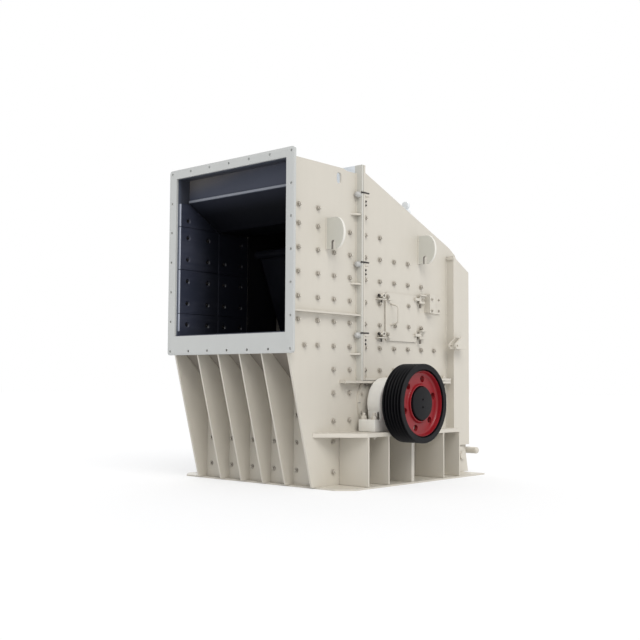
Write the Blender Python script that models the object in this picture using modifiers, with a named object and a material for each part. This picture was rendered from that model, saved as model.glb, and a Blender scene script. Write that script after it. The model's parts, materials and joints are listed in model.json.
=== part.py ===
"""Impact crusher: a welded plate housing with a lined feed inlet, a rotor with
blow bars on a shaft that a grooved pulley drives, and a rear housing that
tilts back about two pins low at the rear. Metres, +Z up. The origin is on the
machine's centre plane, on the underside of the base flange's front bar. The
feed inlet faces -Y and the pulley is on +X."""

import math

import bmesh
import bpy
from mathutils import Matrix, Vector

# Clearances
SEAT_GAP = 0.0003          # between pieces that are bolted or rest together
WELD = 0.002               # how far welded plates of one weldment run into each other
JOINT_GAP = 0.005          # between the fixed and the tilting housing
PIN_GAP = 0.001            # round pins and shafts in their bores

# Plates
WALL = 0.021
FLANGE = 0.025
RIB = 0.016
ROOF = 0.016
LINER = 0.028
BASE = 0.015

# Inside width and the feed inlet
INSIDE_HALF = 0.769
OUTSIDE_HALF = INSIDE_HALF + WALL
INLET_FACE_Y = -0.51
INLET_REACH = 0.081        # of the inlet flange, out from the side plates
INLET_HALF = OUTSIDE_HALF + INLET_REACH
MOUTH_BOTTOM_Z, MOUTH_HEIGHT = 1.447, 1.612
MOUTH_TOP_Z = MOUTH_BOTTOM_Z + MOUTH_HEIGHT
INLET_SILL, INLET_HEAD = 0.191, 0.091   # of the inlet flange, under and over its mouth
INLET_BOTTOM_Z = MOUTH_BOTTOM_Z - INLET_SILL
INLET_TOP_Z = MOUTH_TOP_Z + INLET_HEAD
INLET_CORNER = 0.03

# Bearing shelf
SHELF_REACH = 0.36
SHELF_HALF = OUTSIDE_HALF + SHELF_REACH
SHELF_FRONT_Y = -0.149
SHELF_REAR_Y = 1.80
SHELF_TOP_Z, SHELF_THICKNESS = 0.515, 0.038
WIDE_GUSSET = 0.045
SHELF_GUSSETS = ((0.245, RIB), (0.557, RIB), (0.945, WIDE_GUSSET), (1.49, RIB), (1.785, RIB))

# Base flange and its anchor holes, between the gussets
BASE_MARGIN = 0.010
BASE_HALF = SHELF_HALF + BASE_MARGIN
BASE_FRONT_Y = -0.10
BASE_REAR_Y = 2.26
BASE_CHAMFER = 0.14
DISCHARGE_MARGIN = 0.069
DISCHARGE_HALF = INSIDE_HALF - DISCHARGE_MARGIN
DISCHARGE_FRONT_Y = 0.02
DISCHARGE_REAR_Y = 1.96
ANCHOR_HOLE_RADIUS, ANCHOR_EDGE = 0.018, 0.06
ANCHOR_HOLES_Y = (0.12, 0.40, 0.75, 1.22, 1.64, 2.05)

# Fixed side plates
FOOT_FRONT_Y = -0.15
PLATE_RISE = 0.026          # of the side plates, over the inlet's mouth
PLATE_TOP_Z = MOUTH_TOP_Z + PLATE_RISE
PLATE_CORNER_LENGTH, PLATE_CORNER_DROP = 0.05, 0.017
PLATE_CORNER_RUN = 0.15
LOWER_REAR_Y = 2.07
SLOT_Y, SLOT_DROP = 0.22, 0.105
SLOT_Z = PLATE_TOP_Z - SLOT_DROP
SLOT_HALF_WIDTH, SLOT_HALF_HEIGHT = 0.034, 0.056

# Front wall, feed floor and ribs under the inlet
FRONT_WALL_Y = -0.04
FLOOR_TOE_Y, FLOOR_TOE_Z = 0.02, 0.96
RIB_COUNT = 4
RIB_PITCH = 0.296

# Roof of the fixed housing
LINTEL_Y, LINTEL_DROP = -0.33, 0.219
LINTEL_Z = MOUTH_TOP_Z - LINTEL_DROP
ROOF_BEND_Y, ROOF_FALL = 0.06, 0.24
ROOF_BEND_Z = LINTEL_Z - ROOF_FALL

# Flanges between the fixed and the tilting housing
SPLIT_Y = 0.5137
SPLIT_REACH = 0.070
SPLIT_HALF = OUTSIDE_HALF + SPLIT_REACH
SPLIT_TOP_Z = INLET_TOP_Z
JOINT_Z = 1.010
JOINT_REACH = 0.080
JOINT_HALF = OUTSIDE_HALF + JOINT_REACH
JOINT_FRONT_Y = 0.24
JOINT_REAR_Y = 2.045
SIDE_RIB_Z = 1.65
SIDE_RIB_REACH = 0.060
SIDE_RIB_HALF = OUTSIDE_HALF + SIDE_RIB_REACH
GUSSET_HEIGHTS = (2.65, 1.96, 1.27)
GUSSET_LENGTH, GUSSET_TIP = 0.10, 0.033

# Lifting ears
EAR_FRONT_Y, EAR_REAR_Y = 0.048, 1.556
EAR_Z, EAR_HEIGHT, EAR_REACH = 2.41, 0.307, 0.219
EAR_THICKNESS = 0.03
EAR_FLAT = 0.1085          # straight run of its upper edge before the round
EAR_ROUND_START = -62      # degrees, where the round begins below
EAR_HEEL = 0.03
EAR_SLOT_X, EAR_SLOT_WIDTH, EAR_SLOT_HEIGHT = 0.088, 0.045, 0.085

# Rotor axis, shaft, bearings and seals
AXIS_Y, AXIS_Z = 0.80, 0.793
SHAFT_RADIUS = 0.105
SHAFT_NOSE_RADIUS = 0.085
SHAFT_HOLE_RADIUS = 0.14
SEAL_RADIUS, SEAL_THICKNESS = 0.30, 0.025
BEARING_STANDOFF = 0.080   # from the side plate to the bearing
BEARING_LENGTH = 0.17
BEARING_RADIUS = 0.25
BEARING_EDGE = 0.014
BEARING_FOOT_HALF, BEARING_FOOT_INSET = 0.335, 0.004
BEARING_FOOT_HEIGHT = 0.105
BEARING_CHEEK_INSET = 0.020
BEARING_EAR_HALF, BEARING_EAR_HEIGHT = 0.305, 0.036
COVER_RADIUS, COVER_THICKNESS = 0.185, 0.012
SHAFT_STUB = 0.040         # past the bearing on the side without a pulley
ROTOR_CLEARANCE = 0.026
ROTOR_HALF = INSIDE_HALF - LINER - ROTOR_CLEARANCE
ROTOR_RADIUS = 0.54
BLOW_BAR_REACH, BLOW_BAR_SEAT = 0.11, 0.14
BLOW_BAR_RADIUS = ROTOR_RADIUS + BLOW_BAR_REACH
BLOW_BAR_ROOT = ROTOR_RADIUS - BLOW_BAR_SEAT
BLOW_BAR_THICKNESS = 0.09
BLOW_BARS = 4
ROTOR_POCKET = 0.07

# Pulley
GROOVES, GROOVE_PITCH, GROOVE_DEPTH = 6, 0.035, 0.026
GROOVE_TOP_WIDTH, GROOVE_FLOOR_WIDTH = 0.028, 0.012
RIM_SHOULDER = 0.0115      # beside the first and the last groove
PULLEY_WIDTH = (GROOVES - 1) * GROOVE_PITCH + GROOVE_TOP_WIDTH + 2 * RIM_SHOULDER
PULLEY_GAP = 0.014         # between the shelf's edge and the pulley
PULLEY_FRONT_X = SHELF_HALF + PULLEY_GAP + PULLEY_WIDTH
PULLEY_RADIUS, PULLEY_RIM_INSIDE = 0.383, 0.328
PULLEY_EDGE = 0.004
RIM_TAPER = 0.012
WEB_DEPTH, WEB_THICKNESS = 0.065, 0.040
WEB_HOLES, WEB_HOLE_CIRCLE, WEB_HOLE_RADIUS = 6, 0.245, 0.022
HUB_RADIUS, HUB_RECESS = 0.163, 0.017
HUB_HOLE_RADIUS, HUB_HOLE_CIRCLE = 0.009, 0.037

# Rear housing
SLOPE_DROP = 0.017          # of the slope's upper end, under the flange's edge
SLOPE_START_Z = SPLIT_TOP_Z - SLOPE_DROP
SLOPE_END_Y, SLOPE_END_Z = 2.132, 2.498
BREAK_Y, BREAK_Z = 2.249, 2.429
REAR_Y, REAR_TOP_Z = 2.385, 2.236
REAR_FOOT_Z = 0.31
REAR_PLATE = 0.02
COLUMN_DEPTH = 0.095
COLUMN_OUTER_X = OUTSIDE_HALF + COLUMN_DEPTH
COLUMN_FRONT_Y = 2.08
COLUMN_FRONT_Z = 2.394
COLUMN_WALL = 0.012
PIVOT_Y, PIVOT_Z = 2.22, 0.192
PIVOT_RADIUS = 0.026
PIVOT_EYE_RADIUS = 0.06
PIVOT_BOSS_RADIUS = 0.042
LUG_STANDOFF, LUG_THICKNESS = 0.010, 0.040
LUG_INNER_X = OUTSIDE_HALF + LUG_STANDOFF
LUG_OUTER_X = LUG_INNER_X + LUG_THICKNESS
LUG_SHOULDER = 0.078
BRACKET_THICKNESS = 0.040
BRACKET_OUTER_X = LUG_OUTER_X + JOINT_GAP + BRACKET_THICKNESS
BRACKET_NOSE_RADIUS = 0.10
BRACKET_FRONT_Y, BRACKET_REAR_Y = 1.95, 2.36
REAR_WALL_DROP = 0.044      # of the rear wall's edge, below the bent roof
CROSS_BAR_RADIUS, CROSS_BAR_REACH, CROSS_BAR_Z = 0.037, 0.16, 0.243
ROOF_BAR_Y, ROOF_BAR_RADIUS, ROOF_BAR_INSET = 1.44, 0.034, 0.028
ROOF_LUG_RADIUS, ROOF_LUG_THICKNESS = 0.041, 0.034
ROOF_LUG_RISE, ROOF_LUG_NECK = 0.078, 0.04   # from the bar's axis to the lug's, and its neck's width
CLEVIS_Y, CLEVIS_Z = 2.0, 1.394
CLEVIS_SPREAD, CLEVIS_PLATE, CLEVIS_EYE = 0.10, 0.02, 0.034
CLEVIS_HOLE_RADIUS = 0.015
CLEVIS_FOOT = 0.11         # of its plates' lower edge, along the column
CLEVIS_HEAD = 0.105        # from the eye up to its plates' top
CLEVIS_LEAN = 0.03
CLEVIS_TOP_WIDTH = 0.06
CLEVIS_WEB_WIDTH = 0.025

# Impact aprons over the rotor: head and toe of each, and its thickness
APRON_THICKNESS, APRON_SHAFT_RADIUS = 0.09, 0.05
APRON_SHAFT_SHARE = 0.05   # of the way from head to toe
FRONT_APRON = ((0.66, 2.44), (1.02, 1.56))
REAR_APRON = ((1.93, 2.10), (1.66, 1.30))

# Inspection door in the rear housing
DOOR_FRONT_Y, DOOR_REAR_Y = 0.95, 1.49
DOOR_BOTTOM_Z, DOOR_TOP_Z = 1.42, 1.915
DOOR_LAP = 0.03
DOOR_THICKNESS = 0.012
DOOR_CORNER = 0.03
HINGE_OFFSET, HINGE_STANDOFF = 0.04, 0.033   # from the door's edge, and from the wall
HINGE_Y = DOOR_REAR_Y + HINGE_OFFSET
HINGE_X = OUTSIDE_HALF + HINGE_STANDOFF
HINGE_HEIGHTS = (1.495, 1.875)
HINGE_PIN_RADIUS, HINGE_KNUCKLE_RADIUS, HINGE_KNUCKLE_HEIGHT = 0.008, 0.014, 0.03
HINGE_STRAP = 0.09
HINGE_SPINE = 0.01
HINGE_HALF_HEIGHT = 0.039
HANDLE_Y, HANDLE_Z, HANDLE_REACH = 1.035, 1.6875, 0.095
HANDLE_FEET, HANDLE_GRIP = 0.225, 0.16
HANDLE_RADIUS, HANDLE_BEND = 0.009, 0.035
SWITCH_FRONT_Y, SWITCH_REAR_Y = 1.66, 1.94
SWITCH_BOTTOM_Z, SWITCH_TOP_Z = 1.74, 1.944
SWITCH_PLATE, SWITCH_BOX_REACH, SWITCH_BOX_LENGTH = 0.012, 0.07, 0.10

# Liner rows and columns inside the inlet
LINER_FRONT_Y = -0.465
LINER_BOTTOM_Z, LINER_DROP = 0.98, 0.028
LINER_TOP_Z = LINTEL_Z - LINER_DROP
LINER_ROWS = (1.683, 2.132, 2.573)
LINER_COLUMNS = (0.057,)
LINER_SEAM, LINER_SEAM_DEPTH = 0.006, 0.010
LINER_CLEARANCE = 0.042    # upright, from the side liners to the floor and the roof

ROUND_STEPS = 48
SMALL_STEPS = 16

BEARING_INNER_X = OUTSIDE_HALF + BEARING_STANDOFF
BEARING_OUTER_X = BEARING_INNER_X + BEARING_LENGTH
INLET_BACK_Y = INLET_FACE_Y + FLANGE
SPLIT_FRONT_Y = SPLIT_Y - FLANGE
TILT_Y = SPLIT_Y + JOINT_GAP
TILT_Z = JOINT_Z + JOINT_GAP


def clear_scene():
    for thing in list(bpy.data.objects):
        bpy.data.objects.remove(thing, do_unlink=True)


def new_collection(name):
    collection = bpy.data.collections.new(name)
    bpy.context.scene.collection.children.link(collection)
    return collection


def paint(name, colour, roughness, metallic):
    material = bpy.data.materials.new(name)
    material.use_nodes = True
    shader = material.node_tree.nodes["Principled BSDF"]
    shader.inputs["Base Color"].default_value = (*colour, 1.0)
    shader.inputs["Roughness"].default_value = roughness
    shader.inputs["Metallic"].default_value = metallic
    return material


clear_scene()
MACHINE = new_collection("impact_crusher")
IVORY = paint("ivory_paint", (0.64, 0.60, 0.52), 0.45, 0.0)
GREY_IVORY = paint("grey_ivory_paint", (0.57, 0.57, 0.53), 0.5, 0.0)
LINER_STEEL = paint("liner_steel", (0.012, 0.014, 0.022), 0.5, 0.6)
SHAFT_STEEL = paint("shaft_steel", (0.35, 0.35, 0.35), 0.35, 1.0)
BLACK = paint("black_paint", (0.008, 0.008, 0.01), 0.4, 0.0)
RED = paint("red_paint", (0.38, 0.012, 0.016), 0.4, 0.0)


def block(low, high):
    """A box between two corners."""
    work = bmesh.new()
    size = Vector(high) - Vector(low)
    middle = (Vector(high) + Vector(low)) / 2
    bmesh.ops.create_cube(work, size=1.0, matrix=Matrix.Translation(middle) @ Matrix.Diagonal((*size, 1)))
    return finish(work)


def finish(work):
    mesh = bpy.data.meshes.new("piece")
    bmesh.ops.recalc_face_normals(work, faces=work.faces)
    work.to_mesh(mesh)
    work.free()
    return mesh


def evaluated_mesh(thing):
    """The mesh of an object with its modifiers, in world places, and the object is removed."""
    bpy.context.view_layer.update()
    graph = bpy.context.evaluated_depsgraph_get()
    mesh = bpy.data.meshes.new_from_object(thing.evaluated_get(graph))
    mesh.transform(thing.matrix_world)
    bpy.data.objects.remove(thing, do_unlink=True)
    work = bmesh.new()
    work.from_mesh(mesh)
    bpy.data.meshes.remove(mesh)
    bmesh.ops.remove_doubles(work, verts=work.verts, dist=0.00002)
    return finish(work)


AXES = {
    "X": Matrix(((0, 0, 1), (1, 0, 0), (0, 1, 0))).to_4x4(),
    "Y": Matrix(((1, 0, 0), (0, 0, -1), (0, 1, 0))).to_4x4(),
    "Z": Matrix.Identity(4),
}


def plate(axis, low, high, outline, holes=()):
    """A flat outline with holes, as thick as the span low to high on the axis.

    Across X the points are (y, z), across Y they are (x, z), across Z (x, y)."""
    curve = bpy.data.curves.new("outline", "CURVE")
    curve.dimensions = "2D"
    curve.fill_mode = "BOTH"
    curve.extrude = (high - low) / 2
    for points in (outline, *holes):
        spline = curve.splines.new("POLY")
        spline.points.add(len(points) - 1)
        for place, (u, v) in zip(spline.points, points):
            place.co = (u, v, 0, 1)
        spline.use_cyclic_u = True
    thing = bpy.data.objects.new("outline", curve)
    bpy.context.scene.collection.objects.link(thing)
    offset = Vector([(low + high) / 2 if letter == axis else 0 for letter in "XYZ"])
    thing.matrix_world = Matrix.Translation(offset) @ AXES[axis]
    return evaluated_mesh(thing)


def turned(profile, centre, steps=ROUND_STEPS):
    """A closed profile of (x, radius) points turned about an axis along X."""
    mesh = bpy.data.meshes.new("profile")
    count = len(profile)
    rim = [(x, radius, 0.0) for x, radius in profile]
    closing = [] if profile[0][1] == 0 and profile[-1][1] == 0 else [(count - 1, 0)]
    mesh.from_pydata(rim, [(i, i + 1) for i in range(count - 1)] + closing, [])
    thing = bpy.data.objects.new("profile", mesh)
    bpy.context.scene.collection.objects.link(thing)
    screw = thing.modifiers.new("turn", "SCREW")
    screw.axis = "X"
    screw.steps = steps
    screw.render_steps = steps
    screw.use_merge_vertices = True
    screw.merge_threshold = 0.00005
    thing.location = centre
    return evaluated_mesh(thing)


def rod(centre, radius, start_x, end_x, steps=SMALL_STEPS):
    """A round bar along X between two places on X."""
    profile = [(start_x, 0), (start_x, radius), (end_x, radius), (end_x, 0)]
    return turned(profile, (0, *centre), steps)


def tube(points, radius):
    """A bent round bar along a list of points."""
    curve = bpy.data.curves.new("bar", "CURVE")
    curve.dimensions = "3D"
    curve.bevel_depth = radius
    curve.bevel_resolution = 2
    curve.use_fill_caps = True
    spline = curve.splines.new("POLY")
    spline.points.add(len(points) - 1)
    for place, point in zip(spline.points, points):
        place.co = (*point, 1)
    thing = bpy.data.objects.new("bar", curve)
    bpy.context.scene.collection.objects.link(thing)
    return evaluated_mesh(thing)


def arc(centre, radius, start, end, steps):
    """Points on an arc, angles in degrees, from the first axis to the second."""
    turn = [math.radians(start + (end - start) * k / steps) for k in range(steps + 1)]
    return [(centre[0] + radius * math.cos(a), centre[1] + radius * math.sin(a)) for a in turn]


def circle(centre, radius, steps=SMALL_STEPS):
    return arc(centre, radius, 0, 360, steps)[:-1]


def oval(centre, half_width, half_height, steps=10):
    """An upright slot with round ends."""
    reach = half_height - half_width
    top = arc((centre[0], centre[1] + reach), half_width, 0, 180, steps)
    bottom = arc((centre[0], centre[1] - reach), half_width, 180, 360, steps)
    return top + bottom


def rectangle(low, high, corner=0.0, steps=4):
    if corner == 0:
        return [low, (high[0], low[1]), high, (low[0], high[1])]
    points = []
    for u, v, start in ((high[0], low[1], -90), (high[0], high[1], 0), (low[0], high[1], 90), (low[0], low[1], 180)):
        centre = (u - corner if u == high[0] else u + corner, v - corner if v == high[1] else v + corner)
        points += arc(centre, corner, start, start + 90, steps)
    return points


def band(points, thickness):
    """The outline of a bent plate: a line of points and the same line moved to its left."""
    line = [Vector(point) for point in points]
    lefts = []
    for first, second in zip(line, line[1:]):
        run = (second - first).normalized()
        lefts.append(Vector((-run.y, run.x)))
    moved = []
    for k, point in enumerate(line):
        before = lefts[max(k - 1, 0)]
        after = lefts[min(k, len(lefts) - 1)]
        bisector = (before + after).normalized()
        moved.append(point + bisector * (thickness / bisector.dot(after)))
    return [tuple(p) for p in line] + [tuple(p) for p in reversed(moved)]


def clip(points, edge_start, edge_end):
    """The part of an outline on the left of the line from edge_start to edge_end, which crosses it twice."""
    along = Vector(edge_end) - Vector(edge_start)
    normal = Vector((-along.y, along.x))
    sides = [normal.dot(Vector(p) - Vector(edge_start)) for p in points]
    kept = []
    for k, point in enumerate(points):
        previous, side_before, side = points[k - 1], sides[k - 1], sides[k]
        if (side_before < 0) != (side < 0):
            share = side_before / (side_before - side)
            kept.append(tuple(Vector(previous).lerp(Vector(point), share)))
        if side >= 0:
            kept.append(point)
    return kept


def mirrored(mesh):
    """A copy on the other side of the machine."""
    copy = mesh.copy()
    copy.transform(Matrix.Diagonal((-1, 1, 1, 1)))
    work = bmesh.new()
    work.from_mesh(copy)
    bpy.data.meshes.remove(copy)
    return finish(work)


def node(name, mesh, material, pivot=None, smooth=False):
    """A named piece of the machine, carried by the pivot empty if it moves."""
    if pivot:
        mesh.transform(Matrix.Translation(-pivot.location))
    mesh.name = name
    mesh.materials.clear()
    mesh.materials.append(material)
    thing = bpy.data.objects.new(name, mesh)
    MACHINE.objects.link(thing)
    thing.parent = pivot
    if smooth:
        mesh.shade_smooth()
        mesh.set_sharp_from_angle(angle=math.radians(35))
    return thing


def boolean(mesh, operation, other):
    """The mesh joined with, or cut by, another in one exact Boolean."""
    body = bpy.data.objects.new("body", mesh)
    tool = bpy.data.objects.new("tool", other)
    for thing in (body, tool):
        bpy.context.scene.collection.objects.link(thing)
    modifier = body.modifiers.new("boolean", "BOOLEAN")
    modifier.operation = operation
    modifier.object = tool
    result = evaluated_mesh(body)
    bpy.data.objects.remove(tool, do_unlink=True)
    return result


def fused(mesh, *others):
    for other in others:
        mesh = boolean(mesh, "UNION", other)
    return mesh


def carved(mesh, *others):
    for other in others:
        mesh = boolean(mesh, "DIFFERENCE", other)
    return mesh


def pair(name, right, material, pivot=None, smooth=False):
    """The same piece on both sides of the machine."""
    left = mirrored(right)
    node(name + "_right", right, material, pivot, smooth)
    node(name + "_left", left, material, pivot, smooth)


def pivot(name, place):
    empty = bpy.data.objects.new(name, None)
    MACHINE.objects.link(empty)
    empty.location = place
    empty.empty_display_size = 0.2
    bpy.context.view_layer.update()
    return empty


def floor_line():
    """The upper face of the feed floor, from the inlet to its toe over the front wall."""
    return (INLET_BACK_Y + SEAT_GAP, MOUTH_BOTTOM_Z - LINER), (FLOOR_TOE_Y, FLOOR_TOE_Z)


def floor_band(thickness, lift):
    """A plate along the feed floor, cut upright where it meets the inlet flange."""
    start, toe = [Vector(point) + Vector((0, lift)) for point in floor_line()]
    beyond = start + (start - toe).normalized() * FLANGE * 2
    return clip_before(band([toe, beyond], thickness), start.x)


def clip_before(points, edge):
    """The part of an outline behind an upright line at a place on Y."""
    return clip(points, (edge, FLANGE), (edge, 0))


def roof_line():
    """The under face of the fixed housing's roof, from the inlet to the split."""
    return [
        (INLET_BACK_Y + SEAT_GAP, MOUTH_TOP_Z),
        (LINTEL_Y, MOUTH_TOP_Z),
        (LINTEL_Y, LINTEL_Z),
        (ROOF_BEND_Y, ROOF_BEND_Z),
        (SPLIT_FRONT_Y - SEAT_GAP, ROOF_BEND_Z),
    ]


def slope_line():
    """The upper edge of the rear housing's side walls."""
    return [
        (TILT_Y + FLANGE + SEAT_GAP, SLOPE_START_Z),
        (SLOPE_END_Y, SLOPE_END_Z),
        (BREAK_Y, BREAK_Z),
        (REAR_Y, REAR_TOP_Z),
    ]


def base():
    corner = BASE_CHAMFER
    outline = [
        (-BASE_HALF + corner, BASE_FRONT_Y),
        (BASE_HALF - corner, BASE_FRONT_Y),
        (BASE_HALF, BASE_FRONT_Y + corner),
        (BASE_HALF, BASE_REAR_Y),
        (-BASE_HALF, BASE_REAR_Y),
        (-BASE_HALF, BASE_FRONT_Y + corner),
    ]
    discharge = rectangle((-DISCHARGE_HALF, DISCHARGE_FRONT_Y), (DISCHARGE_HALF, DISCHARGE_REAR_Y))
    edge = BASE_HALF - ANCHOR_EDGE
    anchors = [circle((x, y), ANCHOR_HOLE_RADIUS, 12) for x in (-edge, edge) for y in ANCHOR_HOLES_Y]
    node("base_flange", plate("Z", 0, BASE, outline, [discharge, *anchors]), IVORY)


def side_plates():
    """Fixed side plates with their joint flange, side rib and flange gussets."""
    foot = BASE + SEAT_GAP
    back = SPLIT_FRONT_Y - SEAT_GAP
    top_rear = PLATE_TOP_Z - PLATE_CORNER_DROP
    outline = [
        (FOOT_FRONT_Y, foot),
        (LOWER_REAR_Y, foot),
        (LOWER_REAR_Y, JOINT_Z),
        (back, JOINT_Z),
        (back, top_rear),
        (back - PLATE_CORNER_RUN, top_rear),
        (back - PLATE_CORNER_RUN - PLATE_CORNER_LENGTH, PLATE_TOP_Z),
        (INLET_BACK_Y + SEAT_GAP, PLATE_TOP_Z),
        (INLET_BACK_Y + SEAT_GAP, INLET_BOTTOM_Z),
    ]
    holes = [
        circle((AXIS_Y, AXIS_Z), SHAFT_HOLE_RADIUS, 32),
        oval((SLOT_Y, SLOT_Z), SLOT_HALF_WIDTH, SLOT_HALF_HEIGHT),
    ]
    sheet = plate("X", INSIDE_HALF, OUTSIDE_HALF, outline, holes)
    root = OUTSIDE_HALF - WELD
    welded = [
        block((root, JOINT_FRONT_Y, JOINT_Z - FLANGE), (JOINT_HALF, JOINT_REAR_Y, JOINT_Z)),
        block((root, INLET_BACK_Y + SEAT_GAP, SIDE_RIB_Z - RIB / 2), (SIDE_RIB_HALF, back, SIDE_RIB_Z + RIB / 2)),
    ]
    for z in GUSSET_HEIGHTS:
        triangle = [
            (root, back - GUSSET_LENGTH),
            (SIDE_RIB_HALF, back - GUSSET_TIP),
            (SIDE_RIB_HALF, back),
            (root, back),
        ]
        welded.append(plate("Z", z - RIB / 2, z + RIB / 2, triangle))
    pair("side_plate", fused(sheet, *welded), IVORY)


def front_wall_and_floor():
    """The sloping feed floor, and the upright front wall with the ribs that carry the inlet."""
    inside = INSIDE_HALF - SEAT_GAP
    start, toe = [Vector(point) for point in floor_line()]
    node("feed_floor", plate("X", -inside, inside, floor_band(FLANGE, 0)), IVORY)
    run = (start - toe).normalized()
    down = Vector((-run.y, run.x)) * (FLANGE + SEAT_GAP)
    under_toe, under_start = toe + down, start + down

    def under_floor(y):
        share = (y - under_toe.x) / (under_start.x - under_toe.x)
        return under_toe.y + share * (under_start.y - under_toe.y)

    foot = BASE + SEAT_GAP
    back_y = FRONT_WALL_Y + FLANGE
    wall = [(FRONT_WALL_Y, foot), (back_y, foot), (back_y, under_floor(back_y)), (FRONT_WALL_Y, under_floor(FRONT_WALL_Y))]
    rib_back = FRONT_WALL_Y + WELD
    top_y = INLET_BACK_Y + SEAT_GAP
    rib = [
        (FOOT_FRONT_Y, foot),
        (rib_back, foot),
        (rib_back, under_floor(rib_back)),
        (top_y, under_floor(top_y)),
        (top_y, INLET_BOTTOM_Z),
    ]
    ribs = []
    for k in range(RIB_COUNT):
        x = (k - (RIB_COUNT - 1) / 2) * RIB_PITCH
        ribs.append(plate("X", x - RIB / 2, x + RIB / 2, rib))
    node("front_wall", fused(plate("X", -inside, inside, wall), *ribs), IVORY)


def inlet_flange():
    outline = rectangle((-INLET_HALF, INLET_BOTTOM_Z), (INLET_HALF, INLET_TOP_Z), INLET_CORNER)
    mouth = rectangle((-INSIDE_HALF, MOUTH_BOTTOM_Z), (INSIDE_HALF, MOUTH_TOP_Z))
    node("inlet_flange", plate("Y", INLET_FACE_Y, INLET_BACK_Y, outline, [mouth]), GREY_IVORY)


def front_roof():
    inside = INSIDE_HALF - SEAT_GAP
    node("front_roof", plate("X", -inside, inside, band(roof_line(), ROOF)), IVORY)


def split_frame(low, high, foot):
    """An upright flange frame right round the housing, open below."""
    head = ROOF_BEND_Z
    outline = [
        (-SPLIT_HALF, foot),
        (-INSIDE_HALF, foot),
        (-INSIDE_HALF, head),
        (INSIDE_HALF, head),
        (INSIDE_HALF, foot),
        (SPLIT_HALF, foot),
        (SPLIT_HALF, SPLIT_TOP_Z),
        (-SPLIT_HALF, SPLIT_TOP_Z),
    ]
    return plate("Y", low, high, outline)


def fixed_flanges():
    node("split_flange_front", split_frame(SPLIT_FRONT_Y, SPLIT_Y, JOINT_Z + SEAT_GAP), IVORY)


def ear(y):
    """A half-round lifting hook with a slot cut up from its lower edge."""
    inner = OUTSIDE_HALF + SEAT_GAP
    low, high = EAR_Z - EAR_HEIGHT / 2, EAR_Z + EAR_HEIGHT / 2
    half = EAR_HEIGHT / 2
    slot_low = inner + EAR_SLOT_X - EAR_SLOT_WIDTH / 2
    slot_high = slot_low + EAR_SLOT_WIDTH
    slot_top = low + EAR_SLOT_HEIGHT - EAR_SLOT_WIDTH / 2
    slot = [(slot_low, low)] + arc(((slot_low + slot_high) / 2, slot_top), EAR_SLOT_WIDTH / 2, 180, 0, 8) + [(slot_high, low)]
    curve = []
    for u, v in arc((0, 0), 1, EAR_ROUND_START, 90, 16):
        curve.append((inner + EAR_FLAT + (EAR_REACH - EAR_FLAT) * u, EAR_Z + half * v))
    heel = (curve[0][0] - EAR_HEEL, low)
    outline = [(inner, low)] + slot + [heel] + curve + [(inner, high)]
    return plate("Y", y - EAR_THICKNESS / 2, y + EAR_THICKNESS / 2, outline)


def shelves():
    inner = OUTSIDE_HALF + SEAT_GAP
    outline = [
        (inner, SHELF_FRONT_Y),
        (SHELF_HALF, SHELF_FRONT_Y + SHELF_HALF - inner),
        (SHELF_HALF, SHELF_REAR_Y),
        (inner, SHELF_REAR_Y),
    ]
    under = SHELF_TOP_Z - SHELF_THICKNESS
    gussets = []
    for y, thickness in SHELF_GUSSETS:
        low = (inner, y - thickness / 2, BASE + SEAT_GAP)
        gussets.append(block(low, (SHELF_HALF, y + thickness / 2, under + WELD)))
    pair("bearing_shelf", fused(plate("Z", under, SHELF_TOP_Z, outline), *gussets), IVORY)


def bearing_barrel():
    """The section of the bearing's round body with its outer cover, as (x, radius)."""
    inner, outer, edge = BEARING_INNER_X, BEARING_OUTER_X, BEARING_EDGE
    return [
        (inner, 0),
        (inner, BEARING_RADIUS - edge),
        (inner + edge, BEARING_RADIUS),
        (outer - edge, BEARING_RADIUS),
        (outer, BEARING_RADIUS - edge),
        (outer, COVER_RADIUS),
        (outer + COVER_THICKNESS, COVER_RADIUS),
        (outer + COVER_THICKNESS, 0),
    ]


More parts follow.
